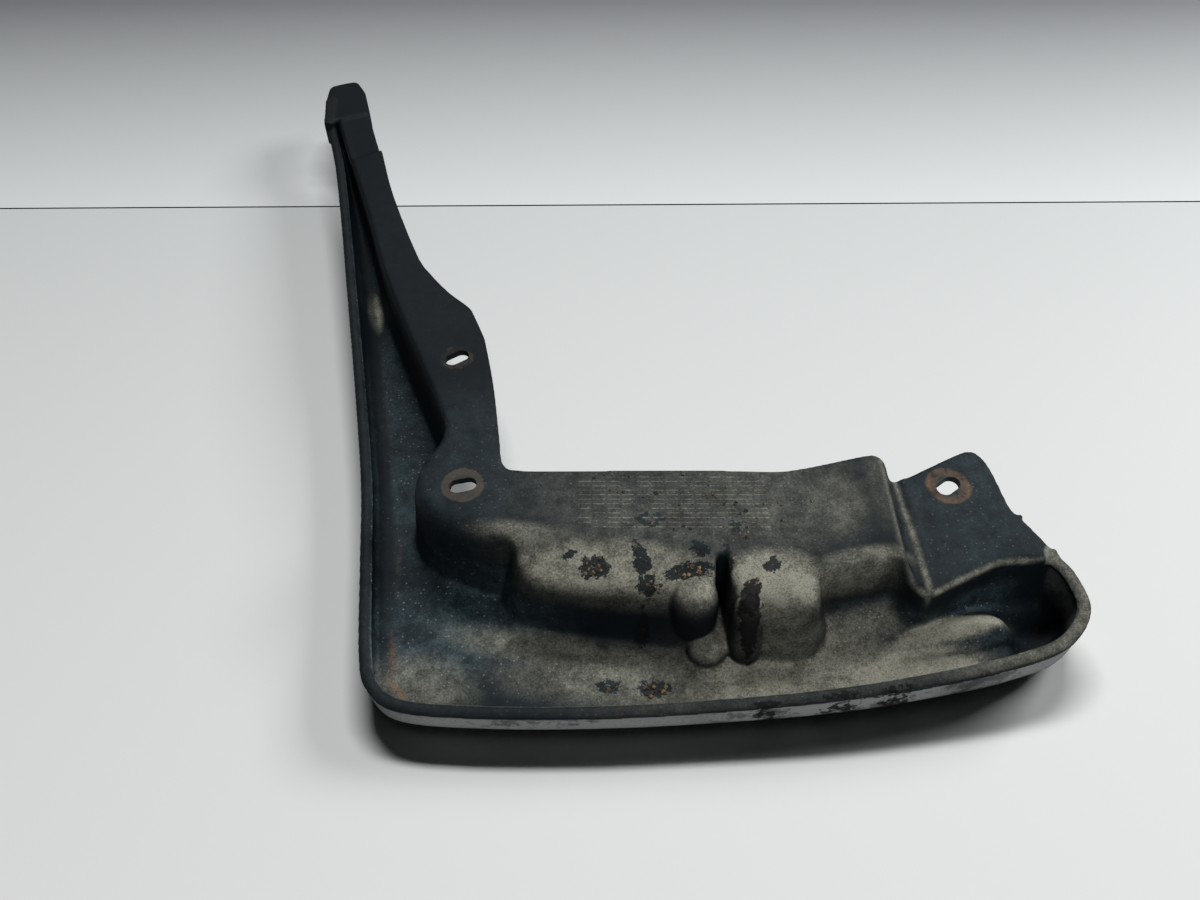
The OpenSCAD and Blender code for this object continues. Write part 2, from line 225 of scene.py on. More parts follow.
@dataclass(frozen=True)
class Levels:
    """Levels of the skin's upper face above the ground.

    Pairs and fours of numbers are the places between which a feature rises, or rises and falls again.
    """

    wall: float = 3.0
    belly_gap: float = 0.3
    plate: float = 38.0
    arm_bend: float = 117.0
    arm_end: float = 304.0
    arm_fall: float = 8.0
    arm_rise: float = 14.0
    tip_rise: float = 6.0
    tip_band: tuple = (225, 266)
    large_slope: float = 0.45
    large_ends: tuple = (1, 7, 81, 83)
    large_crease: float = -31.0
    crease_fall: float = 6.0
    crease_ends: tuple = (5, 80)
    small_slope: float = 0.30
    small_ends: tuple = (82, 84, 114, 124)
    small_crease: float = -39.0
    tab_dip: float = 2.3
    dip_across: tuple = (198, 211)
    dip_along: tuple = (22, 34)
    terrace_slope: float = 0.72
    terrace_ends: tuple = (112, 122, 150, 162)
    terrace_root: tuple = (119, -57)
    terrace_aim: tuple = (0.12, 0.993)
    terrace_ease: float = 1.2
    ridge_height: float = 11.8
    ridge_half_width: float = 8.0
    ridge_line: tuple = ((134, -71), (147.5, -63.5), (160, -58.8), (173, -55), (182, -54.2), (190, -56))
    ridge_start: tuple = (0.05, 0.7)
    ridge_end: tuple = (187, 200)
    groove: tuple = ((140, 0), (148.5, 0.1), (151, 1.8), (153, 6.9), (154.6, 7.4), (157.4, 5.0), (160, 5.6),
                     (166, 6.2), (230, 6.2))

    def share(self, y: np.ndarray) -> np.ndarray:
        """How far up the arm a place is, from 0 at its bend to 1 at its tip."""
        return np.clip((y - self.arm_bend) / (self.arm_end - self.arm_bend), 0, 1.2)

    def top(self, xy: np.ndarray) -> np.ndarray:
        """Level of the arm, the plate, the blocks' tops, the groove beside the tab and the tab.

        Args:
            xy: Places in plan.

        Returns:
            The level at each place.
        """
        x, y = xy[:, 0], xy[:, 1]
        z = self.plate - self.arm_fall * self.share(y)
        start, end = self.crease_ends
        crease = self.large_crease - self.crease_fall * np.clip((x - start) / (end - start), 0, 1)
        z = z - self.large_slope * np.maximum(0, crease - y) * plateau(x, self.large_ends)
        z = z - self.small_slope * np.maximum(0, self.small_crease - y) * plateau(x, self.small_ends)
        step = spline(self.groove, 8)
        z = z - np.interp(x, step[:, 0], step[:, 1])
        return z - self.tab_dip * rise(x, *self.dip_across) * rise(-y, *self.dip_along)

    def ground(self, xy: np.ndarray) -> np.ndarray:
        """Level of the panel, its ridge beside the tab and the terrace beside the small block.

        Args:
            xy: Places in plan.

        Returns:
            The level at each place.
        """
        x, y = xy[:, 0], xy[:, 1]
        z = self.wall + self.belly_gap + self.arm_rise * self.share(y) + self.tip_rise * rise(y, *self.tip_band)
        gap, along = near_path(xy, self.ridge_line)
        crest = rise(along, *self.ridge_start) * (1 - rise(x, *self.ridge_end))
        z = z + self.ridge_height * hump(gap, self.ridge_half_width) * crest
        (root_x, root_y), (aim_x, aim_y) = self.terrace_root, self.terrace_aim
        behind = (x - root_x) * aim_x + (y - root_y) * aim_y
        climb = self.terrace_ease * np.logaddexp(0, behind / self.terrace_ease)
        return z + self.terrace_slope * climb * plateau(x, self.terrace_ends)


# ---------------------------------------------------------------- closed shells


class Shells:
    """Closed shells, in millimetres, that are fused into one skin."""

    KNOB_RINGS, KNOB_SIDES, POLE_GAP = 28, 44, 0.04

    def __init__(self) -> None:
        """Starts with none."""
        self.points: list = []
        self.faces: list = []

    def add(self, points: np.ndarray, faces: list) -> None:
        """Adds a shell by its points and faces."""
        start = len(self.points)
        self.points.extend(map(tuple, points))
        self.faces.extend([start + i for i in f] for f in faces)

    def loft(self, rings: np.ndarray) -> None:
        """Adds a solid through rings of points.

        Args:
            rings: Array of ring, point and coordinate.
        """
        n, m = rings.shape[:2]
        i, j = np.meshgrid(np.arange(n - 1), np.arange(m), indexing="ij")
        a, b = i * m + j, i * m + (j + 1) % m
        quads = np.stack([a, b, b + m, a + m], axis=-1).reshape(-1, 4).tolist()
        caps = [list(range(m))[::-1], list(range((n - 1) * m, n * m))]
        self.add(rings.reshape(-1, 3), quads + caps)

    def sheet(self, outline: np.ndarray, top: Callable, thick: float | Callable, spacing: float = 3.0) -> None:
        """Adds a sheet of skin under a curved upper face.

        Args:
            outline: Its outline in plan.
            top: Function from places in plan to the upper face's level.
            thick: Its thickness, measured upright, or a function from places in plan to it.
            spacing: Distance between the points inside the outline.
        """
        low, high = outline.min(0), outline.max(0)
        gx, gy = np.meshgrid(np.arange(low[0], high[0], spacing), np.arange(low[1], high[1], spacing))
        places = np.vstack([outline[:, :2], np.column_stack([gx.ravel(), gy.ravel()])])
        verts, _, faces, *_ = delaunay_2d_cdt([Vector(p) for p in places], [], [list(range(len(outline)))], 1, 1e-4)
        xy = np.array([v[:] for v in verts])
        z, n = top(xy), len(xy)
        open_edges: dict = {}
        for f in faces:
            for a, b in zip(f, [*f[1:], f[0]]):
                if open_edges.pop((b, a), None) is None:
                    open_edges[(a, b)] = True
        sides = [[b, a, n + a, n + b] for a, b in open_edges]
        under = [[n + i for i in f][::-1] for f in faces]
        depth = thick(xy) if callable(thick) else thick
        points = np.vstack([np.column_stack([xy, z]), np.column_stack([xy, z - depth])])
        self.add(points, [list(f) for f in faces] + under + sides)

    def knob(self, low: tuple, high: tuple, radii: tuple, squareness: float) -> None:
        """Adds a rounded knob between two levels, leaning from one middle to the other.

        Args:
            low: Middle of its foot.
            high: Middle of its head.
            radii: Its radius at the foot and at the head.
            squareness: 2 for a ball, more for flatter ends with rounded edges.
        """
        v = np.linspace(-math.pi / 2 + self.POLE_GAP, math.pi / 2 - self.POLE_GAP, self.KNOB_RINGS)
        u = np.linspace(0, 2 * math.pi, self.KNOB_SIDES, endpoint=False)
        across = np.cos(v) ** (2 / squareness)
        up = (np.sign(np.sin(v)) * np.abs(np.sin(v)) ** (2 / squareness) + 1) / 2
        middle = np.asarray(low, float) + up[:, None] * (np.asarray(high, float) - np.asarray(low, float))
        radius = across * (radii[0] + up * (radii[1] - radii[0]))
        circle = np.column_stack([np.cos(u), np.sin(u), 0 * u])
        self.loft(middle[:, None] + radius[:, None, None] * circle[None])

    def to_object(self, name: str) -> bpy.types.Object:
        """Makes the shells an object.

        Args:
            name: The object's name.

        Returns:
            The object, in millimetres.
        """
        mesh = bpy.data.meshes.new(name)
        mesh.from_pydata(self.points, [], self.faces)
        return linked(name, mesh)


def linked(name: str, mesh: bpy.types.Mesh) -> bpy.types.Object:
    """Puts a mesh in the scene.

    Args:
        name: The object's name.
        mesh: Its mesh.

    Returns:
        The object.
    """
    obj = bpy.data.objects.new(name, mesh)
    bpy.context.scene.collection.objects.link(obj)
    return obj


def baked(obj: bpy.types.Object) -> bpy.types.Mesh:
    """Gives the mesh that an object's modifiers make.

    Args:
        obj: The object, which is used up.

    Returns:
        The mesh.
    """
    evaluated = obj.evaluated_get(bpy.context.evaluated_depsgraph_get())
    mesh = bpy.data.meshes.new_from_object(evaluated)
    bpy.data.objects.remove(obj)
    return mesh


def places_of(mesh: bpy.types.Mesh) -> np.ndarray:
    """Reads a mesh's points.

    Args:
        mesh: The mesh.

    Returns:
        One row of coordinates for each point.
    """
    flat = np.empty(len(mesh.vertices) * 3, np.float32)
    mesh.vertices.foreach_get("co", flat)
    return flat.reshape(-1, 3).astype(float)


END_LEG, SHARED_LEG = 0.98, 0.49


def rounded_profile(corners: list, reaches: list, steps: int = 7) -> np.ndarray:
    """Rounds the inner corners of open profiles, using up no more than a share of each leg.

    Args:
        corners: The corners in order, each an array of section by place and level.
        reaches: How far each inner corner's rounding reaches along its legs.
        steps: Points in each rounding.

    Returns:
        Array of section, point, and place and level.
    """
    out = [corners[0]]
    last = len(corners) - 2
    for k in range(1, last + 1):
        p, back, on = corners[k], corners[k - 1] - corners[k], corners[k + 1] - corners[k]
        la, lb = np.linalg.norm(back, axis=1), np.linalg.norm(on, axis=1)
        ra = np.minimum(reaches[k - 1], la * (END_LEG if k == 1 else SHARED_LEG)) / la
        rb = np.minimum(reaches[k - 1], lb * (END_LEG if k == last else SHARED_LEG)) / lb
        start, end = p + back * ra[:, None], p + on * rb[:, None]
        out += [(1 - t) ** 2 * start + 2 * t * (1 - t) * p + t * t * end for t in np.linspace(0, 1, steps)]
    out.append(corners[-1])
    return np.stack(out, axis=1)


def thickened(profile: np.ndarray, thick: float) -> np.ndarray:
    """Closes open profiles into rings of skin that lie to their right.

    Args:
        profile: Array of section, point, and place and level.
        thick: Thickness of the skin.

    Returns:
        The closed rings, in the same order.
    """
    d = np.gradient(profile, axis=1)
    n = np.stack([d[..., 1], -d[..., 0]], axis=-1)
    n /= np.maximum(np.linalg.norm(n, axis=2), 1e-9)[..., None]
    return np.concatenate([profile, (profile + n * thick)[:, ::-1]], axis=1)


def swept(path: np.ndarray, across: np.ndarray, ring: np.ndarray) -> np.ndarray:
    """Places rings of place-and-level along a path, turned to face across it."""
    xy = path[:, None, :2] + across[:, None] * ring[..., :1]
    return np.concatenate([xy, ring[..., 1:]], axis=2)


# ---------------------------------------------------------------- the walls and the rim


@dataclass(frozen=True)
class Walls:
    """The walls below the arm, the plate, the blocks and the tab, from the arm's tip round to the deep end.

    Each row of a run is a place on the upper edge, how far the foot stands out, and how far the rounding reaches
    at the upper edge and at the foot.
    """

    levels: Levels
    spacing: float = 1.4
    overlap: float = 0.8
    arm: tuple = ((-111, 262, 1.5, 1.2, 1.5), (-98, 221, 2, 1.2, 2), (-80, 167, 2.5, 1.3, 2), (-64, 117, 3, 1.5, 2),
                  (-46, 72, 3, 1.5, 2), (-31.5, 37, 3, 1.8, 2), (-26.5, 23, 3, 2, 2), (-28.5, 13, 3, 2.5, 2),
                  (-33.5, 4, 3.4, 3, 2), (-35.5, -5, 3.6, 4, 2), (-34.5, -13, 4, 5, 2), (-30, -20, 4.4, 6, 2),
                  (-22, -25.5, 4.6, 6.5, 2), (-12, -29, 5.2, 6.5, 2), (-3, -31, 6, 4.6, 2), (3, -31, 6.5, 3, 2))
    large: tuple = ((5.5, -34.5, 8.5, 2.6, 2), (7.5, -43, 7.5, 4, 2), (12, -47, 5.5, 5, 2), (22, -49.5, 4.4, 5, 2),
                    (44, -51, 6, 5, 2), (66, -52, 9, 5, 2), (76, -52, 9, 4.5, 2), (79.5, -49, 3, 2, 2),
                    (80, -39, 1.2, 1.5, 1.5))
    small: tuple = ((84.5, -39, 1.2, 1.5, 1.5), (85, -47, 1.6, 2.5, 2), (88, -53, 6, 4, 2), (96, -55.5, 10.5, 4.5, 2),
                    (110, -57, 10, 4.5, 2), (115, -56.5, 9.5, 4.5, 3), (116.5, -53, 8, 4.5, 5), (117, -48, 6, 4, 6))
    ridge: tuple = ((122, -46, 5, 3.5, 6), (134, -43.6, 5, 3.5, 6), (147.5, -41, 5, 3, 6))
    tab: tuple = ((151, -45, 4, 2.5, 5), (154, -51.5, 3.5, 2.5, 4), (158, -53.5, 3, 2, 3), (168, -48.5, 3.5, 2, 3),
                  (181, -42, 4, 2, 4), (189, -38.8, 4, 2.5, 5), (198, -38.5, 4, 3, 5), (206, -37, 4, 3, 5),
                  (212, -34, 4, 3, 4))

    def edge(self) -> np.ndarray:
        """The upper edge's rows, evenly spaced, with its corners rounded in plan."""
        runs = [spline(run, 8) for run in (self.arm, self.large, self.small, self.ridge, self.tab)]
        return eased(even(np.vstack(runs), self.spacing), 3)

    def lines(self) -> dict:
        """Finds the lines in plan where the walls leave the top and reach the floor.

        Returns:
            The two lines by name.
        """
        rows = self.edge()
        out = -leftward(rows)
        inner, outer = self.overlap - rows[:, 3:4], rows[:, 2:3] + rows[:, 4:5] - self.overlap
        return {"top": rows[:, :2] + out * inner, "floor": rows[:, :2] + out * outer}

    def rings(self) -> np.ndarray:
        """Draws the walls.

        Returns:
            Their rings of skin: array of ring, point and coordinate.
        """
        rows = self.edge()
        p, out = rows[:, :2], -leftward(rows)
        draft, shoulder, foot = rows[:, 2:].T
        top, ground = self.levels.top, self.levels.ground
        stops = [-shoulder, 0 * draft, draft, draft + foot]
        places = [p + out * s[:, None] for s in stops]
        levels = [top(places[0]), top(p), ground(places[2]), ground(places[3])]
        corners = [np.column_stack([s, z]) for s, z in zip(stops, levels)]
        return swept(p, out, thickened(rounded_profile(corners, [shoulder, foot]), self.levels.wall))


@dataclass(frozen=True)
class Rim:
    """The curved margin and outer skirt that carry the rolled bead, from the arm's tip round to the deep end.

    Each row is a place on the outer face, the levels of the bead's crest and of the skirt's foot, and the width
    of the margin inside it. The section's rows are a share of the margin's width, a share of a height, and
    whether that is the skirt's height or the margin's fall to the belly.
    """

    levels: Levels
    rows: tuple = ((-120.5, 280, 29.0, 23, 4), (-118.5, 262, 28.5, 22, 5), (-107, 221, 27, 19, 6),
                   (-95, 167, 24, 16, 9), (-84.5, 117, 21.5, 12, 12), (-72.5, 60, 19, 10, 15),
                   (-62.5, 10, 18, 8.5, 16), (-57, -28, 18, 8, 14), (-51, -70, 18, 8, 13),
                   (-46, -84, 18, 7.5, 13), (-34, -92, 18, 6.5, 15), (-3, -94.6, 18, 6.5, 17), (35, -94.6, 18, 6.5, 17),
                   (72, -92.8, 18.3, 6.5, 16), (120, -88.9, 19.8, 7, 16), (160, -82.8, 21.4, 7.5, 15),
                   (190, -76.2, 23, 8.5, 13), (208, -69, 24, 10, 11.5), (218, -56, 26, 11, 10), (216, -42, 28, 12, 9),
                   (211, -35, 29.5, 13, 8.5))
    bead_width: float = 5.4
    bead_height: float = 3.4
    overhang: float = 0.8
    bead_start: float = 258
    spacing: float = 1.6
    floor_reach: float = 1.12
    section: tuple = ((0.0, 1.0, 1), (0.005, 0.5, 1), (0.015, 0.0, 1), (0.07, 0.74, 0), (0.2, 0.44, 0),
                      (0.42, 0.17, 0), (0.72, 0.03, 0), (1.0, 0.0, 0), (1.2, 0.0, 0))

    def line(self) -> np.ndarray:
        """The rows of the outer face, evenly spaced."""
        return even(spline(self.rows, 12), self.spacing)

    def floor_line(self) -> np.ndarray:
        """In plan, the line where the margin reaches the floor."""
        rows = self.line()
        return rows[:, :2] + leftward(rows) * rows[:, 4:5] * self.floor_reach

    def rings(self) -> np.ndarray:
        """Draws the skirt and the margin.

        Returns:
            Their rings of skin: array of ring, point and coordinate.
        """
        rows = self.line()
        inward = leftward(rows)
        crest, foot, width = rows[:, 2], rows[:, 3], rows[:, 4]
        belly = self.levels.ground(rows[:, :2] + inward * width[:, None]) - self.levels.wall
        points = []
        for along, share, is_face in self.section:
            top = crest - self.bead_height / 2
            z = foot + (top - foot) * share if is_face else belly + (foot - belly) * share
            points.append(np.column_stack([width * along, z]))
        profile = np.stack([even_profile(row, 20) for row in np.stack(points, axis=1)])
        return swept(rows, inward, thickened(profile[:, ::-1], self.levels.wall))

    def bead_path(self) -> np.ndarray:
        """Finds the bead's centre line.

        Returns:
            Its places and levels.
        """
        rows = self.line()
        rows = rows[rows[:, 1] < self.bead_start]
        middle = rows[:, :2] + leftward(rows) * (self.bead_width / 2 - self.overhang)
        return np.column_stack([middle, rows[:, 2] - self.bead_height / 2])


def even_profile(row: np.ndarray, count: int) -> np.ndarray:
    """Runs a smooth curve through a profile.

    Args:
        row: The profile's points.
        count: Points wanted.

    Returns:
        The curve's evenly spaced points.
    """
    fine = spline(row, 6)
    run = np.r_[0, np.cumsum(np.hypot(*np.diff(fine, axis=0).T))]
    at = np.linspace(0, run[-1], count)
    return np.column_stack([np.interp(at, run, fine[:, 0]), np.interp(at, run, fine[:, 1])])


# ---------------------------------------------------------------- geometry nodes


class Tree:
    """A node tree under construction, for a mesh or for a material."""

    def __init__(self, tree: bpy.types.NodeTree) -> None:
        """Starts from a tree without nodes."""
        self.tree = tree
        tree.nodes.clear()

    def add(self, kind: str, inputs: dict | None = None, **settings: object) -> bpy.types.Node:
        """Adds a node.

        Args:
            kind: The node's type.
            inputs: Values or sockets by input name or number.
            settings: The node's own settings.

        Returns:
            The node.
        """
        node = self.tree.nodes.new(kind)
        for key, value in settings.items():
            setattr(node, key, value)
        for key, value in (inputs or {}).items():
            socket = node.inputs[key]
            if isinstance(value, Socket):
                self.tree.links.new(value, socket)
            else:
                socket.default_value = value
        return node

    def math(self, operation: str, *values: Socket | float, clamp: bool = False) -> Socket:
        """Adds a Math node and gives its output."""
        node = self.add("ShaderNodeMath", dict(enumerate(values)), operation=operation, use_clamp=clamp)
        return node.outputs[0]

    def product(self, *values: Socket | float, clamp: bool = False) -> Socket:
        """Multiplies values in turn, and clamps the last product if asked to."""
        result = values[0]
        for k, value in enumerate(values[1:], 2):
            result = self.math("MULTIPLY", result, value, clamp=clamp and k == len(values))
        return result


class Surface(Tree):
    """A material under construction, patterned in its object's own space."""

    def __init__(self, name: str) -> None:
        """Makes the material and finds the place its pattern goes by."""
        self.material = bpy.data.materials.new(name)
        self.material.use_nodes = True
        super().__init__(self.material.node_tree)
        self.place = self.add("ShaderNodeTexCoord").outputs["Object"]

    def amount(self, name: str) -> Socket:
        """Reads the value of an attribute of wear and painted light."""
        return self.add("ShaderNodeAttribute", attribute_name=name).outputs["Fac"]

    def noise(self, size: float, detail: float, rough: float = 0.6, stretch: tuple = (1, 1, 1)) -> Socket:
        """Makes cloudy noise.

        Args:
            size: Width of its lumps, in millimetres, which also moves the pattern.
            detail: How many finer noises lie over the lumps.
            rough: How strong the finer noises are.
            stretch: The pattern's scale along each axis.

        Returns:
            The noise.
        """
        moved = self.add("ShaderNodeMapping", {0: self.place, "Scale": stretch, "Location": (size, 0, 0)})
        cloud = self.add("ShaderNodeTexNoise", {"Vector": moved.outputs[0], "Scale": 1 / (size * MM),
                                                "Detail": detail, "Roughness": rough})
        return cloud.outputs[0]

    def between(self, value: Socket, low: float, high: float, to: tuple = (0, 1)) -> Socket:
        """Maps a value smoothly from low and high to the two ends."""
        node = self.add("ShaderNodeMapRange", {0: value, 1: low, 2: high, 3: to[0], 4: to[1]},
                        interpolation_type="SMOOTHSTEP")
        return node.outputs[0]

    def mixed(self, share: Socket, first: Socket | tuple, second: Socket | tuple) -> Socket:
        """Mixes two colours, each a socket or a written colour."""
        first, second = ((*c, 1) if isinstance(c, tuple) else c for c in (first, second))
        return self.add("ShaderNodeMix", {0: share, 6: first, 7: second}, data_type="RGBA").outputs[2]

    def relief(self, strength: float, depth: float, height: Socket) -> Socket:
        """Turns a height pattern, depth millimetres deep, into the surface's direction."""
        bump = self.add("ShaderNodeBump", {"Strength": strength, "Distance": depth * MM, "Height": height})
        return bump.outputs[0]

    def finish(self, inputs: dict) -> bpy.types.Material:
        """Ends the tree in a shader.

        Args:
            inputs: The shader's values and sockets by name.

        Returns:
            The material.
        """
        shader = self.add("ShaderNodeBsdfPrincipled", inputs)
        self.add("ShaderNodeOutputMaterial", {0: shader.outputs[0]})
        return self.material


class NodeShape:
    """A mesh shape made by geometry nodes, with named inputs for its sizes."""

    def __init__(self, name: str, sizes: dict) -> None:
        """Makes the tree's interface.

        Args:
            name: The tree's name.
            sizes: The named inputs and their values: a number, a whole number or a material.
        """
        self.group = bpy.data.node_groups.new(name, "GeometryNodeTree")
        self.nodes = Tree(self.group)
        face = self.group.interface
        face.new_socket("Geometry", in_out="INPUT", socket_type="NodeSocketGeometry")
        kinds = {float: "NodeSocketFloat", int: "NodeSocketInt"}
        self.sizes = {}
        for label, value in sizes.items():
            kind = kinds.get(type(value), "NodeSocketMaterial")
            self.sizes[face.new_socket(label, in_out="INPUT", socket_type=kind).identifier] = value
        face.new_socket("Geometry", in_out="OUTPUT", socket_type="NodeSocketGeometry")
        self.input = self.nodes.add("NodeGroupInput")

    def size(self, label: str) -> Socket:
        """Gives a named input's socket inside the tree."""
        return self.input.outputs[label]

    def finish(self, geometry: Socket) -> None:
        """Ends the tree in real geometry with its material."""
        real = self.nodes.add("GeometryNodeRealizeInstances", {0: geometry})
        dressed = self.nodes.add("GeometryNodeSetMaterial", {0: real.outputs[0], "Material": self.size("Material")})
        self.nodes.add("NodeGroupOutput", {0: dressed.outputs[0]})

    def on(self, obj: bpy.types.Object) -> bpy.types.Mesh:
        """Runs the tree on an object.

        Args:
            obj: The object, which is used up.

        Returns:
            The plain mesh.
        """
        modifier = obj.modifiers.new(self.group.name, "NODES")
        modifier.node_group = self.group
        for identifier, value in self.sizes.items():
            modifier[identifier] = value
        return baked(obj)


def bead_mesh(path: np.ndarray, width: float, height: float, finish: bpy.types.Material) -> bpy.types.Mesh:
    """Sweeps the rim's rolled bead along its centre line.

    Args:
        path: The centre line, in millimetres.
        width: The bead's width.
        height: Its height.
        finish: Its material.

    Returns:
        The bead's mesh.
    """
    shape = NodeShape("rolled_bead", {"Width": width, "Height": height, "Material": finish})
    nodes = shape.nodes
    curve = nodes.add("GeometryNodeMeshToCurve", {0: shape.input.outputs["Geometry"]})
    upright = nodes.add("GeometryNodeSetCurveNormal", {0: curve.outputs[0]}, mode="Z_UP")
    circle = nodes.add("GeometryNodeCurvePrimitiveCircle", {"Resolution": 32, "Radius": 0.5})
    scale = nodes.add("ShaderNodeCombineXYZ", {"X": shape.size("Width"), "Y": shape.size("Height"), "Z": 1.0})
    oval = nodes.add("GeometryNodeTransform", {0: circle.outputs[0], "Scale": scale.outputs[0]})
    bead = nodes.add("GeometryNodeCurveToMesh", {0: upright.outputs[0], 1: oval.outputs[0], "Fill Caps": True})
    shape.finish(bead.outputs[0])
    line = bpy.data.meshes.new("bead_line")
    line.from_pydata(path.tolist(), [(i, i + 1) for i in range(len(path) - 1)], [])
    return shape.on(linked("bead_line", line))


# ---------------------------------------------------------------- the whole skin


@dataclass(frozen=True)
class SlotHole:
    """A slotted fixing hole, its level and the print its washer left."""

    centre: tuple
    turn: float
    level: float
    print_radius: float
    rust: float
    mark: float
    length: float = 11.0
    width: float = 6.5

    def outline(self, grow: float = 0.0) -> np.ndarray:
        """Draws the slot in plan.

        Args:
            grow: How much larger all round it is made.

        Returns:
            Its rounded outline.
        """
        radius, reach = self.width / 2 + grow, (self.length - self.width) / 2
        angles = np.linspace(-math.pi / 2, math.pi / 2, 15)
        arc = np.column_stack([np.cos(angles) * radius + reach, np.sin(angles) * radius])
        loop = np.vstack([arc, -arc])
        c, s = math.cos(math.radians(self.turn)), math.sin(math.radians(self.turn))
        return loop @ np.array([[c, s], [-s, c]]) + self.centre


def prism(name: str, outline: np.ndarray, low: float = -20.0, high: float = 60.0) -> bpy.types.Object:
    """Makes an upright closed prism.

    Args:
        name: The object's name.
        outline: Its outline in plan, in either direction.
        low: Level of its foot.
        high: Level of its top.

    Returns:
        The object.
    """
    x, y = outline[:, 0], outline[:, 1]
    if np.sum(x * np.roll(y, -1) - y * np.roll(x, -1)) < 0:
        outline = outline[::-1]
    n = len(outline)
    points = [(*p, z) for z in (low, high) for p in outline]
    sides = [(i, (i + 1) % n, n + (i + 1) % n, n + i) for i in range(n)]
    mesh = bpy.data.meshes.new(name)
    mesh.from_pydata(points, [], [tuple(range(n))[::-1], tuple(range(n, 2 * n)), *sides])
    work = bmesh.new()
    work.from_mesh(mesh)
    bmesh.ops.triangulate(work, faces=work.faces[:])
    work.to_mesh(mesh)
    work.free()
    return linked(name, mesh)


def cut(obj: bpy.types.Object, tool: bpy.types.Object, operation: str) -> bpy.types.Mesh:
    """Cuts a copy of an object with another one.

    Args:
        obj: The object, which stays as it is.
        tool: The object that cuts it.
        operation: What is kept: INTERSECT or DIFFERENCE.

    Returns:
        The cut mesh.
    """
    copy = linked(obj.name + "_cut", obj.data)
    modifier = copy.modifiers.new("cut", "BOOLEAN")
    modifier.solver = "MANIFOLD"
    modifier.operation = operation
    modifier.object = tool
    return baked(copy)


def without_flakes(mesh: bpy.types.Mesh, least: int = 400) -> bpy.types.Mesh:
    """Drops the loose flakes that cuts along a shared edge leave.

    Args:
        mesh: The mesh, which is changed.
        least: Vertices that a body worth keeping has.

    Returns:
        The same mesh.
    """
    ends = np.empty(len(mesh.edges) * 2, np.int32)
    mesh.edges.foreach_get("vertices", ends)
    first, second = ends.reshape(-1, 2).T
    label = np.arange(len(mesh.vertices))
    while (label[first] != label[second]).any():
        lower = np.minimum(label[first], label[second])
        np.minimum.at(label, first, lower)
        np.minimum.at(label, second, lower)
        label = label[label]
    small = np.bincount(label, minlength=len(label))[label] < least
    work = bmesh.new()
    work.from_mesh(mesh)
    bmesh.ops.delete(work, geom=[v for v, loose in zip(work.verts, small) if loose], context="VERTS")
    work.to_mesh(mesh)
    work.free()
    return mesh


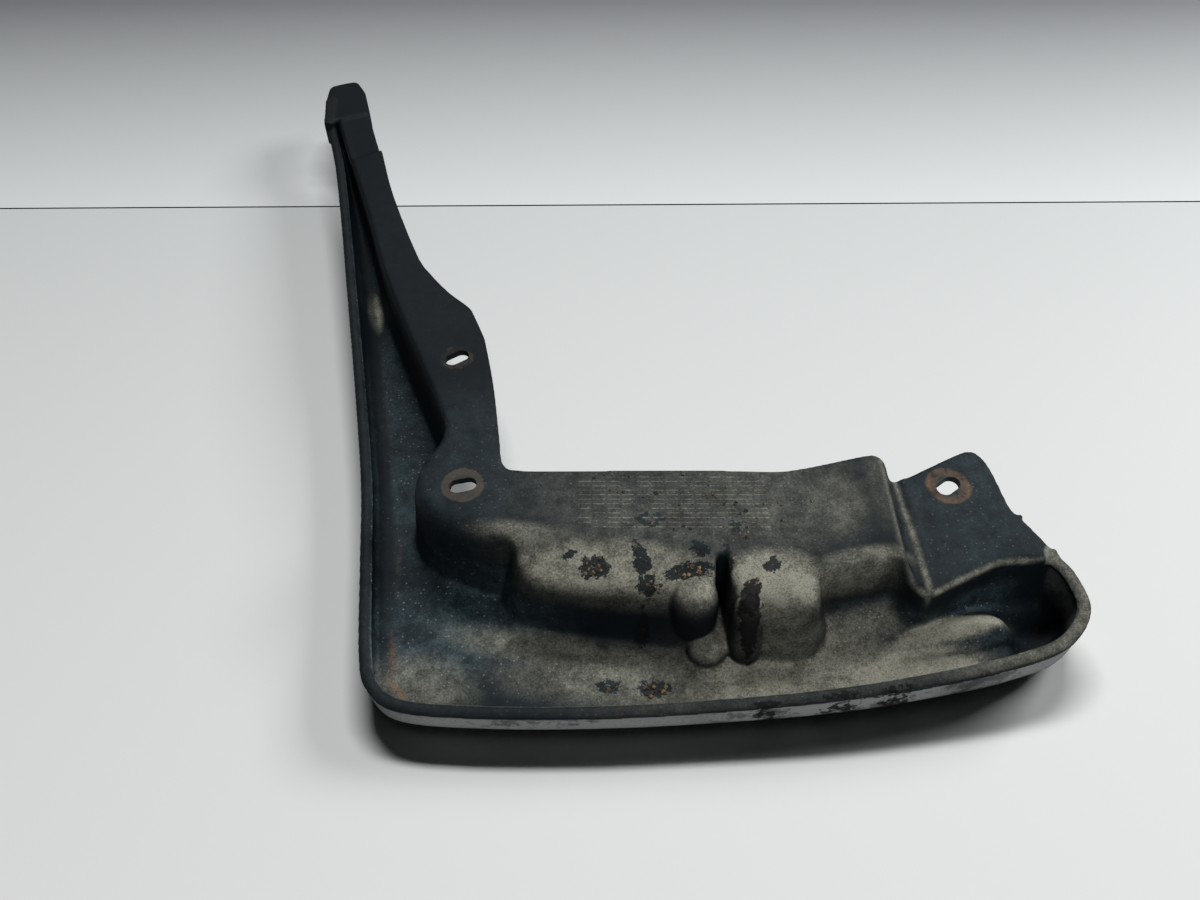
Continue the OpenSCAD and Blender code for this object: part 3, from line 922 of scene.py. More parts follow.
@dataclass(frozen=True)
class Skin:
    """The flap's one moulded skin, fused from its shells and eased as a mould eases its corners."""

    levels: Levels = Levels()
    voxel: float = 0.72
    easing: int = 8
    step: float = 1.1
    cap_thick: float = 7.0
    cap_root: float = 7.5
    cap_taper: tuple = (258, 284)
    top_end: float = 219
    floor_end: float = 206
    tab_corner: tuple = (190, -52)
    patch_spacing: float = 1.5
    patch_mesh: float = 2.0
    slot_floor: float = 15
    arm_right: tuple = ((-3.5, 14), (-8, 45), (-13, 70), (-17, 86), (-23, 96), (-32, 105), (-42, 118), (-51, 134),
                        (-70, 186), (-82, 228))
    far_edge: tuple = ((197, -12), (194.5, 6), (191, 13.5), (186, 14.5), (173, 8), (160, 1), (155.5, -0.5),
                       (152.5, 0.5), (150.3, 5), (147, 7.8), (142, 7.3), (133, 5), (118, 1.2), (106, -0.6), (87, 0),
                       (40, 0), (6, 0), (-1, 2.5), (-3, 9))
    tab_right: tuple = ((212, -35), (206.5, -28.5), (201.2, -20.5), (200.4, -18), (198.4, -16.5), (197, -12))
    patch: tuple = ((-112, 260), (-96, 269.5), (-83.5, 228.5), (-83, 224), (-98, 217.5))
    cap: tuple = ((-94.5, 267), (-101, 291), (-106.5, 302), (-109, 304), (-114, 302.5), (-121, 299), (-123, 295),
                  (-122.5, 280), (-119, 256), (-114.5, 255.5), (-112.5, 259.5), (-104, 263.5))
    bosses: tuple = (((72, -51, 1), (72, -52.5, 36), (9.6, 9.4), 2.8),
                     ((77.5, -61.5, 0.6), (77.5, -61, 11), (8.5, 7.0), 2.3),
                     ((92.0, -62.5, 0.6), (91.5, -55.5, 32.5), (7.4, 5.4), 3.4),
                     ((84, -58, 0.6), (83, -48, 12), (6.0, 4.0), 3.0),
                     ((200.0, -18.2, 28), (200.9, -17.8, 32.2), (1.5, 1.0), 2.0))
    holes: tuple = (SlotHole((-16.6, -7.9), 14, 38, 8.2, 0.22, 0.9),
                    SlotHole((-25.3, 62.4), 34, 38, 7.2, 0.06, 0.5),
                    SlotHole((175.6, -3.4), 38, 32, 9.0, 0.62, 0.7))

    @property
    def walls(self) -> Walls:
        """The walls between the upper faces and the floor."""
        return Walls(self.levels)

    @property
    def rim(self) -> Rim:
        """The margin, skirt and bead round the floor."""
        return Rim(self.levels)

    def shells(self, finish: bpy.types.Material) -> Shells:
        """Draws all the shells that make the skin.

        Args:
            finish: The bead's material.

        Returns:
            The shells.
        """
        walls, rim, levels, lines = self.walls, self.rim, self.levels, self.walls.lines()
        skin = Shells()
        skin.loft(walls.rings())
        skin.loft(rim.rings())
        bead = bead_mesh(rim.bead_path(), rim.bead_width, rim.bead_height, finish)
        skin.add(places_of(bead), [list(p.vertices) for p in bead.polygons])
        top_line = lines["top"][lines["top"][:, 1] < self.top_end]
        far = np.vstack([spline(self.far_edge, 5), spline(self.arm_right, 6)])
        skin.sheet(np.vstack([top_line, spline(self.tab_right, 4)[:-1], far]), levels.top, levels.wall)
        low, rim_low = lines["floor"], rim.floor_line()
        low = low[low[:, 0] < self.floor_end]
        rim_low = rim_low[~((rim_low > self.tab_corner).all(axis=1))]
        skin.sheet(np.vstack([rim_low, low[::-1]]), levels.ground, levels.wall)

        def lowered(xy: np.ndarray) -> np.ndarray:
            """Level of the lowered patch near the tip."""
            return levels.top(xy) - self.step

        def cap_depth(xy: np.ndarray) -> np.ndarray:
            """Depth of the cap, which closes the trough below it."""
            return self.cap_thick + self.cap_root * (1 - rise(xy[:, 1], *self.cap_taper))

        for outline, top, thick in ((self.patch, lowered, levels.wall), (self.cap, levels.top, cap_depth)):
            loop = np.array(outline + outline[:1], float)
            skin.sheet(even(loop, self.patch_spacing)[:-1], top, thick, self.patch_mesh)
        for boss in self.bosses:
            skin.knob(*boss)
        return skin

    def fused(self, finish: bpy.types.Material) -> bpy.types.Object:
        """Fuses the shells, eases them and opens the slots.

        Args:
            finish: The skin's material.

        Returns:
            The whole skin, in millimetres.
        """
        raw = self.shells(finish).to_object("shells")
        remesh = raw.modifiers.new("fuse", "REMESH")
        remesh.mode, remesh.voxel_size, remesh.adaptivity = "VOXEL", self.voxel, 0
        mesh = baked(raw)
        ease(mesh, self.easing)
        whole = linked("whole", mesh)
        for hole in self.holes:
            tool = prism("slot", hole.outline(), self.slot_floor)
            whole.data = cut(whole, tool, "DIFFERENCE")
            bpy.data.objects.remove(tool)
        return whole


def ease(mesh: bpy.types.Mesh, passes: int) -> None:
    """Draws each point halfway to the middle of its neighbours.

    Args:
        mesh: The mesh, which is changed.
        passes: How many times.
    """
    points, n = places_of(mesh), len(mesh.vertices)
    edges = np.empty(len(mesh.edges) * 2, np.int32)
    mesh.edges.foreach_get("vertices", edges)
    a, b = edges.reshape(-1, 2).T
    start, end = np.r_[a, b], np.r_[b, a]
    count = np.bincount(start, minlength=n)[:, None]
    for _ in range(passes):
        middle = np.column_stack([np.bincount(start, points[end, k], n) for k in range(3)]) / count
        points += 0.5 * (middle - points)
    mesh.vertices.foreach_set("co", points.astype(np.float32).ravel())
    mesh.update()


# ---------------------------------------------------------------- regions


class Finish(Enum):
    """The record's finishes."""

    BLACK = "black_plastic"
    DUSTY = "dusty_plastic"
    SCUFFED = "scuffed_plastic"


@dataclass(frozen=True)
class Region:
    """A part of the skin, cut off in plan, and the frame's nodes it stands for."""

    name: str
    finish: Finish
    nodes: tuple
    outline: tuple = ()


class Regions:
    """Cuts the skin into its regions, one after the other, the last taking what is left."""

    ARM_END, CORNER_END, FRONT_END = -40.0, -20.0, 168.0
    OUTER_REACH, INNER_INSET = 12, 0.3

    def __init__(self, skin: Skin) -> None:
        """Works out the rim's strips and lists the regions."""
        line = skin.rim.line()
        inward = leftward(line)
        outer = line[:, :2] - inward * self.OUTER_REACH
        inner = line[:, :2] + inward * (skin.rim.bead_width - self.INNER_INSET)
        on_arm = (line[:, 1] > self.ARM_END) & (line[:, 0] < 0)
        at_corner = ~on_arm & (line[:, 0] < self.CORNER_END)
        in_front = (line[:, 0] >= self.CORNER_END) & (line[:, 0] < self.FRONT_END)
        at_end = line[:, 0] >= self.FRONT_END

        def strip(part: np.ndarray, after: int) -> tuple:
            """The rim's strip in plan over part of its length, and so many rows after it."""
            rows = np.flatnonzero(part)
            rows = np.r_[rows, rows[-1] + np.arange(1, after + 1)]
            rows = rows[rows < len(line)]
            return tuple(map(tuple, np.vstack([outer[rows], inner[rows][::-1]])))

        self.all = (
            Region("arm_tip", Finish.BLACK, ("tip_step", "tip_cap"),
                   ((-140, 236), (-60, 252), (-60, 320), (-140, 320))),
            Region("arm_rim", Finish.BLACK, ("arm_skirt", "arm_bead"), strip(on_arm, 1)),
            Region("corner_rim", Finish.SCUFFED, ("corner_skirt", "corner_bead"), strip(at_corner, 1)),
            Region("front_rim", Finish.SCUFFED, ("front_skirt", "front_bead"), strip(in_front, 1)),
            Region("end_rim", Finish.SCUFFED, ("end_skirt", "end_bead"), strip(at_end, 0)),
            Region("tab_skin", Finish.BLACK, ("side_tab", "step_wall", "step_web"),
                   ((149.5, 30), (149.5, -41), (152, -47), (158, -50.5), (170, -46), (182, -40), (192, -36),
                    (206, -34), (230, -34), (230, 30))),
            Region("large_block", Finish.DUSTY, ("large_block_top", "block_nose", "large_block_wall"),
                   ((3.5, -33), (40, -34.5), (80, -37), (82.3, -44), (82.3, -58), (84.5, -67), (76, -70), (50, -65),
                    (16, -57), (7, -52), (3.5, -44))),
            Region("small_block", Finish.DUSTY, ("small_block_top", "small_block_wall", "channel_wall"),
                   ((80, -37), (116, -41), (121, -44), (130, -64), (124, -69), (100, -74), (86, -74), (84.5, -67),
                    (82.3, -58), (82.3, -44))),
            Region("plate", Finish.DUSTY, ("mounting_plate",),
                   ((3.5, 30), (149.5, 30), (149.5, -39), (134, -42), (121, -44), (116, -41), (80, -37), (40, -34.5),
                    (3.5, -33))),
            Region("arm_web", Finish.BLACK, ("arm_plate", "arm_strip", "corner_wall", "arm_wall"),
                   ((3.5, 30), (-40, 140), (-60, 260), (-112, 245), (-101, 221), (-83.5, 167), (-68, 117), (-50, 72),
                    (-35, 37), (-31, 23), (-34, 10), (-39.5, 2), (-41.5, -8), (-37, -20), (-27, -29.5), (-14, -35),
                    (3.5, -39))),
            Region("ridge", Finish.BLACK, ("ridge_wall", "tab_wall"),
                   ((121, -44), (134, -42), (149.5, -39), (152, -47), (158, -50.5), (170, -46), (182, -40),
                    (192, -36), (206, -34), (216, -34), (206, -45), (196, -47), (184, -47), (172, -54), (160, -60),
                    (150, -58), (140, -54), (126, -55))),
            Region("arm_trough", Finish.BLACK, ("arm_panel", "arm_margin"),
                   ((-140, 300), (-140, 60), (20, 60), (20, 300))),
            Region("flap_floor", Finish.DUSTY,
                   ("flap_panel", "terrace", "corner_margin", "front_margin", "end_margin")),
        )

    def cut(self, whole: bpy.types.Object) -> dict:
        """Cuts the whole skin.

        Args:
            whole: The skin, which is used up.

        Returns:
            Each region's mesh, in millimetres.
        """
        meshes, rest = {}, whole
        for region in self.all:
            if not region.outline:
                meshes[region] = without_flakes(rest.data)
                continue
            tool = prism(region.name + "_cutter", np.array(region.outline, float))
            meshes[region] = without_flakes(cut(rest, tool, "INTERSECT"))
            rest.data = cut(rest, tool, "DIFFERENCE")
            bpy.data.objects.remove(tool)
        bpy.data.objects.remove(rest)
        return meshes


# ---------------------------------------------------------------- wear and painted light


UPWARD = (0.0, 0.9)


@dataclass(frozen=True)
class Patch:
    """A soft oval of wear in plan."""

    centre: tuple
    radii: tuple
    amount: float
    turn: float = 0.0


@dataclass(frozen=True)
class PaleEdge:
    """A pale line along the walls' upper edge, laid as dust: the levels and the stretch it lies between, and its
    strength.
    """

    levels: tuple
    stretch: tuple
    amount: float
    width: float


@dataclass(frozen=True)
class RimWearAndPaintedLight:
    """Wear on the rim and the light and shade painted on it, told by how far inside its outer face and how far below
    its crest a place is.

    Pairs and fours of numbers are the distances or places between which a kind of wear begins or ends, or begins
    and ends again.
    """

    rim: Rim
    near: tuple = (6.5, 9.0)
    deep_end: tuple = (150, 200)
    bead_depth: tuple = (2.4, 3.6)
    bead_inside: tuple = (4.8, 6.2)
    bead_dust: tuple = (0.02, 0.06, 0.30)
    bead_start: tuple = (10, 60)
    bead_haze: float = 0.05
    # The lip fields paint a highlight: a pale line of dust and haze along the bead's inner edge.
    highlight_depth: tuple = (1.8, 3.2)
    highlight_inside: tuple = (3.4, 4.4, 5.0, 6.2)
    highlight_as_dust: float = 0.42
    highlight_start: tuple = (-60, -20)
    highlight_as_haze: float = 0.75
    tip: tuple = (226, 252)
    skirt_depth: tuple = (1.7, 2.2)
    skirt_ease: float = 0.7
    skirt_inside: tuple = (1.5, 4)
    skirt_slope: tuple = (0.1, 0.4)
    # The skirt's scuffs fade toward its foot: painted shade where the skirt curves under.
    skirt_shade_depth: tuple = (11, 16)
    foot_shade: float = 0.5
    # The clean fields paint shade: the margin inside the bead, along the left side and its corner, loses its dust and
    # haze.
    margin_shade_inside: tuple = (4.8, 5.8, 9.5, 12.5)
    margin_shade: float = 0.8
    margin_shade_low: float = 16
    left_edge: tuple = (-50, -36)
    left_start: tuple = (-84, -70)
    arm_start: tuple = (-70, 0)
    arm_edge: tuple = (-50, 0)
    arm_loss: float = 0.75
    # The grime fields paint a shadow: a dark line under the bead's overhang, from the front's right part to the deep
    # end.
    bead_shadow_depth: tuple = (1.3, 1.9, 3.8, 4.6)
    bead_shadow_inside: tuple = (1.2, 2.5)
    bead_shadow_start: tuple = (110, 160)

    def place(self, points: np.ndarray) -> tuple:
        """Finds where points lie on the rim.

        Args:
            points: Places in millimetres.

        Returns:
            How far inside the rim's outer face each is, how far below its crest, and how near the rim it is.
        """
        line = self.rim.line()[::4]
        gap, along = near_path(points[:, :2], line)
        run = np.r_[0, np.cumsum(np.hypot(*np.diff(line[:, :2], axis=0).T))]
        crest = np.interp(along * run[-1], run, line[:, 2])
        return gap, crest - points[:, 2], 1 - rise(gap, *self.near)

    def laid(self, points: np.ndarray, normals: np.ndarray, dust_and_highlight: np.ndarray, haze_and_highlight: np.ndarray) -> tuple:
        """Lays the rim's wear, with its painted highlight, shade and shadow, over the dust and the haze of the skin.

        Args:
            points: Places in millimetres.
            normals: The skin's directions there.
            dust_and_highlight: The dust that lies on the skin, painted highlights included.
            haze_and_highlight: The haze on it, painted highlights included.

        Returns:
            The dust and the haze, with the painted highlight on the bead's lip and the painted shade in the margin; the
            rim's own scuffs, with painted shade toward the skirt's foot; and the painted shadow under the bead.
        """
        x, y, z = points.T
        gap, below, near = self.place(points)
        at_end = rise(x, *self.deep_end)
        bead = near * (1 - rise(below, *self.bead_depth)) * (1 - rise(gap, *self.bead_inside))
        # Painted highlight: a pale line along the bead's inner edge.
        lip_highlight = near * (1 - rise(below, *self.highlight_depth)) * plateau(gap, self.highlight_inside)
        least, more, most = self.bead_dust
        caught = least + more * rise(x, *self.bead_start) + most * at_end
        dust_and_highlight = dust_and_highlight * (1 - bead) + bead * caught * rise(normals[:, 2], *UPWARD)
        haze_and_highlight = haze_and_highlight * (1 - bead) + bead * self.bead_haze
        dust_and_highlight = np.maximum(dust_and_highlight, lip_highlight * self.highlight_as_dust * rise(x, *self.highlight_start))
        haze_and_highlight = np.maximum(haze_and_highlight, lip_highlight * self.highlight_as_haze) * (1 - rise(y, *self.tip))
        # Painted shade: the margin inside the bead on the left side loses its dust and haze.
        shaded_left = (1 - rise(x, *self.left_edge)) * rise(y, *self.left_start) * (z < self.margin_shade_low)
        kept = 1 - self.margin_shade * plateau(gap, self.margin_shade_inside) * shaded_left
        under = self.skirt_depth[0] + self.skirt_depth[1] * at_end
        skirt = near * rise(below, under, under + self.skirt_ease) * (1 - rise(gap, *self.skirt_inside))
        skirt = skirt * (1 - rise(normals[:, 2], *self.skirt_slope))
        # Painted shade: the scuffs fade toward the skirt's foot, where it curves under.
        skirt = skirt * (1 - self.foot_shade * rise(below, *self.skirt_shade_depth))
        on_arm = rise(y, *self.arm_start) * (1 - rise(x, *self.arm_edge))
        # Painted shadow: a dark line under the bead's overhang.
        grime_and_shade = near * plateau(below, self.bead_shadow_depth) * (1 - rise(gap, *self.bead_shadow_inside))
        return (dust_and_highlight * kept, haze_and_highlight * kept, skirt * (1 - self.arm_loss * on_arm),
                grime_and_shade * rise(x, *self.bead_shadow_start))


@dataclass(frozen=True)
class WearAndPaintedLight:
    """Where the skin is dusty, hazed, scuffed, rusty, flaked or grimy, and where highlights and shade are painted on
    it.
    """

    skin: Skin
    rim_wear_and_painted_light: RimWearAndPaintedLight
    high_levels: tuple = (17, 24)
    side_haze: float = 0.35
    highlight_levels: tuple = (12, 17)
    # The first pale edge is a painted highlight along the tab's rounded front edge; the second lightens a band partway
    # down the walls of the small block and the ridge.
    pale_edges: tuple = (PaleEdge((28, 30.5), (146, 158, 900, 901), 0.80, 0.9),
                        PaleEdge((17, 24), (100, 124, 140, 152), 0.62, 2.6))
    # The cup at the deep end is made darker: it loses most of its dust and half its haze.
    dark_cup: Patch = Patch((207, -48), (17, 17), 1.0)
    cup_darkening: tuple = (0.93, 0.5)
    rust_ring: tuple = (0.45, 0.8, 0.92, 1.04)
    rust_wave: tuple = (0.72, 0.28, 2.4)
    print_edge: tuple = (1.0, 1.08)
    plate_dust: tuple = (Patch((64, -8), (78, 58), 0.17), Patch((106, -12), (46, 40), 0.22),
                         Patch((44, -46), (56, 17), 0.95, -4), Patch((100, -53), (27, 20), 1.3),
                         Patch((8, -31), (30, 8), 0.40, -6), Patch((136, -41), (24, 6), 0.50, 8),
                         Patch((72, -54), (18, 18), 0.75), Patch((146, -6), (8, 30), 0.16),
                         Patch((30, -12), (30, 22), 0.14), Patch((126, -16), (20, 24), 0.26))
    floor_dust_and_highlight: tuple = (Patch((60, -74), (80, 18), 0.62, -4), Patch((112, -72), (62, 34), 1.05),
                         # The patch at (170, -57), on the crest of the floor's ridge beside the tab, is dust and a
                         # painted highlight.
                         Patch((150, -74), (44, 15), 1.7, 8), Patch((170, -57), (34, 5.5), 1.6, 11),
                         Patch((160, -78), (60, 6), 1.2, 7), Patch((182, -50), (12, 4), 0.2, 14),
                         Patch((-30, -76), (28, 18), 0.42, -8), Patch((18, -62), (54, 11), 0.5, -12),
                         Patch((-76, 128), (4.5, 17), 0.95, 14), Patch((138, -54), (24, 10), 0.6, 10),
                         Patch((88, -62), (18, 11), 0.6), Patch((77.5, -60), (11, 10), 0.5))
    haze_top: tuple = (Patch((178, -12), (46, 60), 0.19), Patch((-18, 0), (42, 60), 0.15),
                       Patch((-50, 130), (60, 120), 0.03), Patch((75, -10), (110, 60), 0.13))
    haze_floor: tuple = (Patch((-50, 40), (26, 110), 0.42, 8), Patch((-20, -50), (60, 44), 0.50),
                         Patch((40, -76), (60, 24), 0.30), Patch((160, -55), (60, 26), 0.50, 12),
                         Patch((182, -44), (22, 7), 1.1, 16),
                         Patch((-84, 165), (14, 70), 0.20, 12))
    flakes: tuple = (Patch((35, -43), (7.5, 5.5), 1.0), Patch((52, -41), (4.5, 9), 1.0, 16),
                     Patch((54, -50), (5, 7), 1.0), Patch((70, -45.5), (13, 5), 1.0, 8),
                     Patch((74, -37), (5, 5), 0.8), Patch((84, -43), (3.4, 9), 1.0),
                     Patch((26, -38.5), (4, 2), 0.9, 20),
                     Patch((101, -44), (5, 4), 0.7), Patch((88, -27), (4, 4), 0.7), Patch((92, -58), (6, 5), 1.0, 20),
                     Patch((40, -76), (6, 4), 0.8), Patch((57, -77), (9, 4.5), 1.0), Patch((56, -24), (7, 6), 0.55))
    rust_floor: tuple = (Patch((-42, -64), (1.7, 14), 0.45, 8), Patch((-38, -78), (1.4, 9), 0.75, 42),
                         Patch((-45, -20), (1.6, 12), 0.08))
    scuff_front: tuple = (Patch((20, -95), (100, 30), 1.0), Patch((120, -90), (80, 30), 1.1),
                          Patch((200, -66), (50, 44), 1.0), Patch((-40, -88), (30, 30), 0.5))
    # The two dark spots on the column beside the small block paint the shade of the channel there; the others darken
    # the foot of the large block's wall and stretches of the front bead.
    grime_and_shade_spots: tuple = (Patch((91.5, -59), (5.5, 12), 1.3, 4), Patch((93, -52), (6, 3.5), 0.8, 35),
                          Patch((53, -57), (5, 4), 0.8), Patch((122, -87.5), (12, 2.2), 0.62, 6),
                          Patch((143, -85), (9, 2.0), 0.60, 10), Patch((96, -90.5), (7, 2.0), 0.60, 4))
    # Painted highlights: pale lines along the plate's rounded right edge and the ridge on the tab's side of the groove.
    edge_highlights: tuple = ((((148.6, 6), (149.2, -18), (149.6, -38)), 0.38, 1.3),
                         (((154.4, -1), (156.6, -26), (157.8, -53)), 0.60, 1.0))
    crumb_places: tuple = (Patch((35, -43), (6, 4.5), 1.0), Patch((56, -51), (4.5, 4), 1.0),
                           Patch((71, -45), (10, 4), 0.7), Patch((91.5, -32), (3.5, 3), 0.7),
                           Patch((79.6, -13), (4, 3), 0.7), Patch((57, -77), (8, 4), 1.0),
                           Patch((41, -76), (5, 3), 0.5),
                           Patch((60, -8), (40, 12), 0.03), Patch((85, -20), (40, 18), 0.05),
                           Patch((104, -18), (9, 6), 0.14), Patch((66, -28), (2.5, 2), 0.7),
                           Patch((50, -7), (3, 2), 0.4), Patch((120, -86), (50, 3), 0.06),
                           Patch((68, -46), (4, 3), 0.6))

    @staticmethod
    def most(xy: np.ndarray, patches: tuple) -> np.ndarray:
        """The strongest of the patches at each place."""
        return np.max([p.amount * blob(xy, p.centre, p.radii, p.turn) for p in patches], axis=0)

    def settled_and_highlighted(self, points: np.ndarray, up: np.ndarray, high: np.ndarray) -> tuple:
        """Works out the dust and the haze on the skin away from its rim, with highlights painted along the edges either
        side of the groove, along the tab's front edge and on the floor ridge's crest, and the cup made darker.

        Args:
            points: Places in millimetres.
            up: How far each faces up.
            high: Which of them are on the upper faces.

        Returns:
            The dust and the haze at each point, painted highlights included.
        """
        xy, z = points[:, :2], points[:, 2]
        dust_and_highlight = up * (high * self.most(xy, self.plate_dust) + (1 - high) * self.most(xy, self.floor_dust_and_highlight))
        haze_and_highlight = high * self.most(xy, self.haze_top) + (1 - high) * self.most(xy, self.haze_floor)
        haze_and_highlight = haze_and_highlight * (self.side_haze + (1 - self.side_haze) * up)
        # Painted highlights along the rounded edges either side of the groove.
        for line, amount, width in self.edge_highlights:
            gap, _ = near_path(xy, line)
            dust_and_highlight = np.maximum(dust_and_highlight, rise(z, *self.highlight_levels) * amount * hump(gap, width))
        # Pale lines along the walls' upper edge; the first is a painted highlight on the tab's front edge.
        gap, _ = near_path(xy, self.skin.walls.edge()[::3])
        for edge in self.pale_edges:
            here = rise(z, *edge.levels) * edge.amount * plateau(xy[:, 0], edge.stretch)
            dust_and_highlight = np.maximum(dust_and_highlight, here * hump(gap, edge.width))
        # The cup is made darker: most of its dust and half its haze are taken away.
        cup = self.most(xy, (self.dark_cup,))
        return dust_and_highlight * (1 - self.cup_darkening[0] * cup), haze_and_highlight * (1 - self.cup_darkening[1] * cup)

    def washers(self, xy: np.ndarray) -> tuple:
        """Works out what the slots' washers left round them.

        Args:
            xy: Places in plan.

        Returns:
            The rust and the pressed rings at each place.
        """
        rust, prints = np.zeros(len(xy)), np.zeros(len(xy))
        level, swing, ripple = self.rust_wave
        for hole in self.skin.holes:
            radius = np.hypot(*(xy - hole.centre).T)
            ring = plateau(radius / hole.print_radius, self.rust_ring) * (level + swing * np.cos(radius * ripple))
            rust = np.maximum(rust, ring * hole.rust)
            prints = np.maximum(prints, hole.mark * (1 - rise(radius / hole.print_radius, *self.print_edge)))
        return rust, prints

    def masks(self, points: np.ndarray, normals: np.ndarray) -> dict:
        """Works out each kind of wear, with the highlights and shade painted with it, at points of the skin.

        Args:
            points: Places in millimetres.
            normals: The skin's directions there.

        Returns:
            The amounts by name.
        """
        xy, up, high = points[:, :2], rise(normals[:, 2], *UPWARD), rise(points[:, 2], *self.high_levels)
        dust_and_highlight, haze_and_highlight = self.settled_and_highlighted(points, up, high)
        dust_and_highlight, haze_and_highlight, scuff_and_shade, grime_and_shade = self.rim_wear_and_painted_light.laid(points, normals, dust_and_highlight, haze_and_highlight)
        rust, prints = self.washers(xy)
        rust = np.maximum((1 - high) * self.most(xy, self.rust_floor), high * up * rust)
        return {"dust_and_highlight": dust_and_highlight, "haze_and_highlight": haze_and_highlight, "scuff_and_shade": scuff_and_shade * self.most(xy, self.scuff_front), "rust": rust,
                "flake": up * self.most(xy, self.flakes),
                "grime_and_shade": np.maximum(grime_and_shade, self.most(xy, self.grime_and_shade_spots)),
                "washer": high * up * prints, "crumb": up * self.most(xy, self.crumb_places)}


# ---------------------------------------------------------------- finishes


@dataclass(frozen=True)
class Plastic:
    """Moulded black plastic, what years on the road left on it, and the highlights and shade painted on it.

    A noise is the width of its lumps, its detail, its roughness and its stretch. A cover is a list of noise
    values between which a mark turns from weak to strong, each with how weak and how strong.
    """

    finish: Finish
    base: tuple = (0.0042, 0.0060, 0.0078)
    # The haze and dust colours also paint the highlights along rounded edges and on the bead's lip.
    haze_and_highlight: tuple = (0.050, 0.079, 0.092)
    dust_and_highlight: tuple = (0.250, 0.247, 0.203)
    deep_dust: tuple = (0.098, 0.093, 0.072)
    film: tuple = (0.30, 0.30, 0.27)
    scuff_and_shade: tuple = (0.24, 0.25, 0.25)
    rust: tuple = (0.165, 0.093, 0.052)
    # The grime colour also paints the shadow under the bead and the shade in the column's channel.
    grime_and_shade: tuple = (0.004, 0.004, 0.005)
    print_tone: tuple = (0.072, 0.066, 0.054)
    gloss: float = 0.60
    dull: float = 0.92
    specular: float = 0.07
    broad: tuple = (38, 5)
    cloud: tuple = (6, 7, 0.74)
    ragged: tuple = (3.2, 6, 0.72)
    fine: tuple = (0.9, 3, 0.7)
    grain: tuple = (0.7, 3, 0.75)
    pores: tuple = (0.45, 2)
    streaks: tuple = (16, 5, 0.65, (0.35, 1, 1))
    haze_cover: tuple = ((0.30, 0.66, (0.25, 1.25)), (0.30, 0.66, (0.45, 1.2)), (0.36, 0.62, (0.55, 1.35)))
    dust_cover: tuple = ((0.32, 0.66, (0.62, 1.24)), (0.3, 0.68, (0.72, 1.15)), (0.36, 0.62, (0.70, 1.26)))
    scuff_cover: tuple = ((0.55, 0.95, (0.42, 1.0)), (0.3, 0.62, (0.75, 1.12)))
    rust_cover: tuple = ((0.32, 0.62, (0.25, 1.1)), (0.32, 0.6, (0.5, 1.15)))
    flake_clean: float = 0.94
    speck_width: float = 1.5
    film_shares: tuple = (0.95, 0.6)
    print_share: float = 0.35
    grime_and_shade_share: float = 0.92
    relief: tuple = (0.22, 0.25)
    relief_shares: tuple = (0.35, 0.5, 0.6)

    def material(self) -> bpy.types.Material:
        """Builds the material, patterned on the skin's places and its attributes of wear and painted light."""
        nodes = Surface(self.finish.value)
        maths, product, between = nodes.math, nodes.product, nodes.between
        cloud, fine, ragged = nodes.noise(*self.cloud), nodes.noise(*self.fine), nodes.noise(*self.ragged)
        dust_and_highlight, colour = self.dusted_and_highlighted(nodes, cloud, fine, ragged)
        scuffed_and_shaded, rusty, colour = self.marked(nodes, cloud, fine, colour)
        # Grime and painted shade: dark spots, the painted shade in the column's channel and the painted shadow under
        # the bead.
        grime_and_shade_mark = product(self.broken(nodes, "grime_and_shade", ragged, 0.5, (0.35, 0.6)),
                       between(nodes.amount("grime_and_shade"), 0.05, 0.2))
        colour = nodes.mixed(product(grime_and_shade_mark, self.grime_and_shade_share), colour, self.grime_and_shade)
        layer = maths("MAXIMUM", maths("MAXIMUM", dust_and_highlight, scuffed_and_shaded), rusty)
        rough = between(layer, 0.0, 0.6, (self.gloss, self.dull))
        rough = maths("ADD", rough, between(fine, 0.3, 0.7, (-0.05, 0.07)), clamp=True)
        fines, pores, clouds = self.relief_shares
        lumps = maths("ADD", product(fine, fines), product(nodes.noise(*self.pores), pores))
        lumps = maths("ADD", lumps, product(dust_and_highlight, cloud, clouds))
        return nodes.finish({"Base Color": colour, "Roughness": rough, "Specular IOR Level": self.specular,
                             "Normal": nodes.relief(*self.relief, lumps)})

    @staticmethod
    def covered(nodes: Surface, name: str, noises: tuple, cover: tuple) -> Socket:
        """Strengthens and weakens a wear attribute with noises.

        Args:
            nodes: The material under construction.
            name: The attribute.
            noises: The noises.
            cover: The cover, a row for each noise.

        Returns:
            The mark's strength.
        """
        parts = [nodes.between(noise, *row) for noise, row in zip(noises, cover)]
        return nodes.product(nodes.amount(name), *parts, clamp=True)

    @staticmethod
    def broken(nodes: Surface, name: str, noise: Socket, reach: float, ends: tuple) -> Socket:
        """Breaks up a wear attribute's edge.

        Args:
            nodes: The material under construction.
            name: The attribute.
            noise: The noise that breaks it up.
            reach: How far the noise moves the edge either way.
            ends: The sums between which the mark turns from absent to full.

        Returns:
            The mark's strength.
        """
        moved = nodes.math("ADD", nodes.amount(name), nodes.between(noise, 0.3, 0.7, (-reach, reach)))
        return nodes.between(moved, *ends)

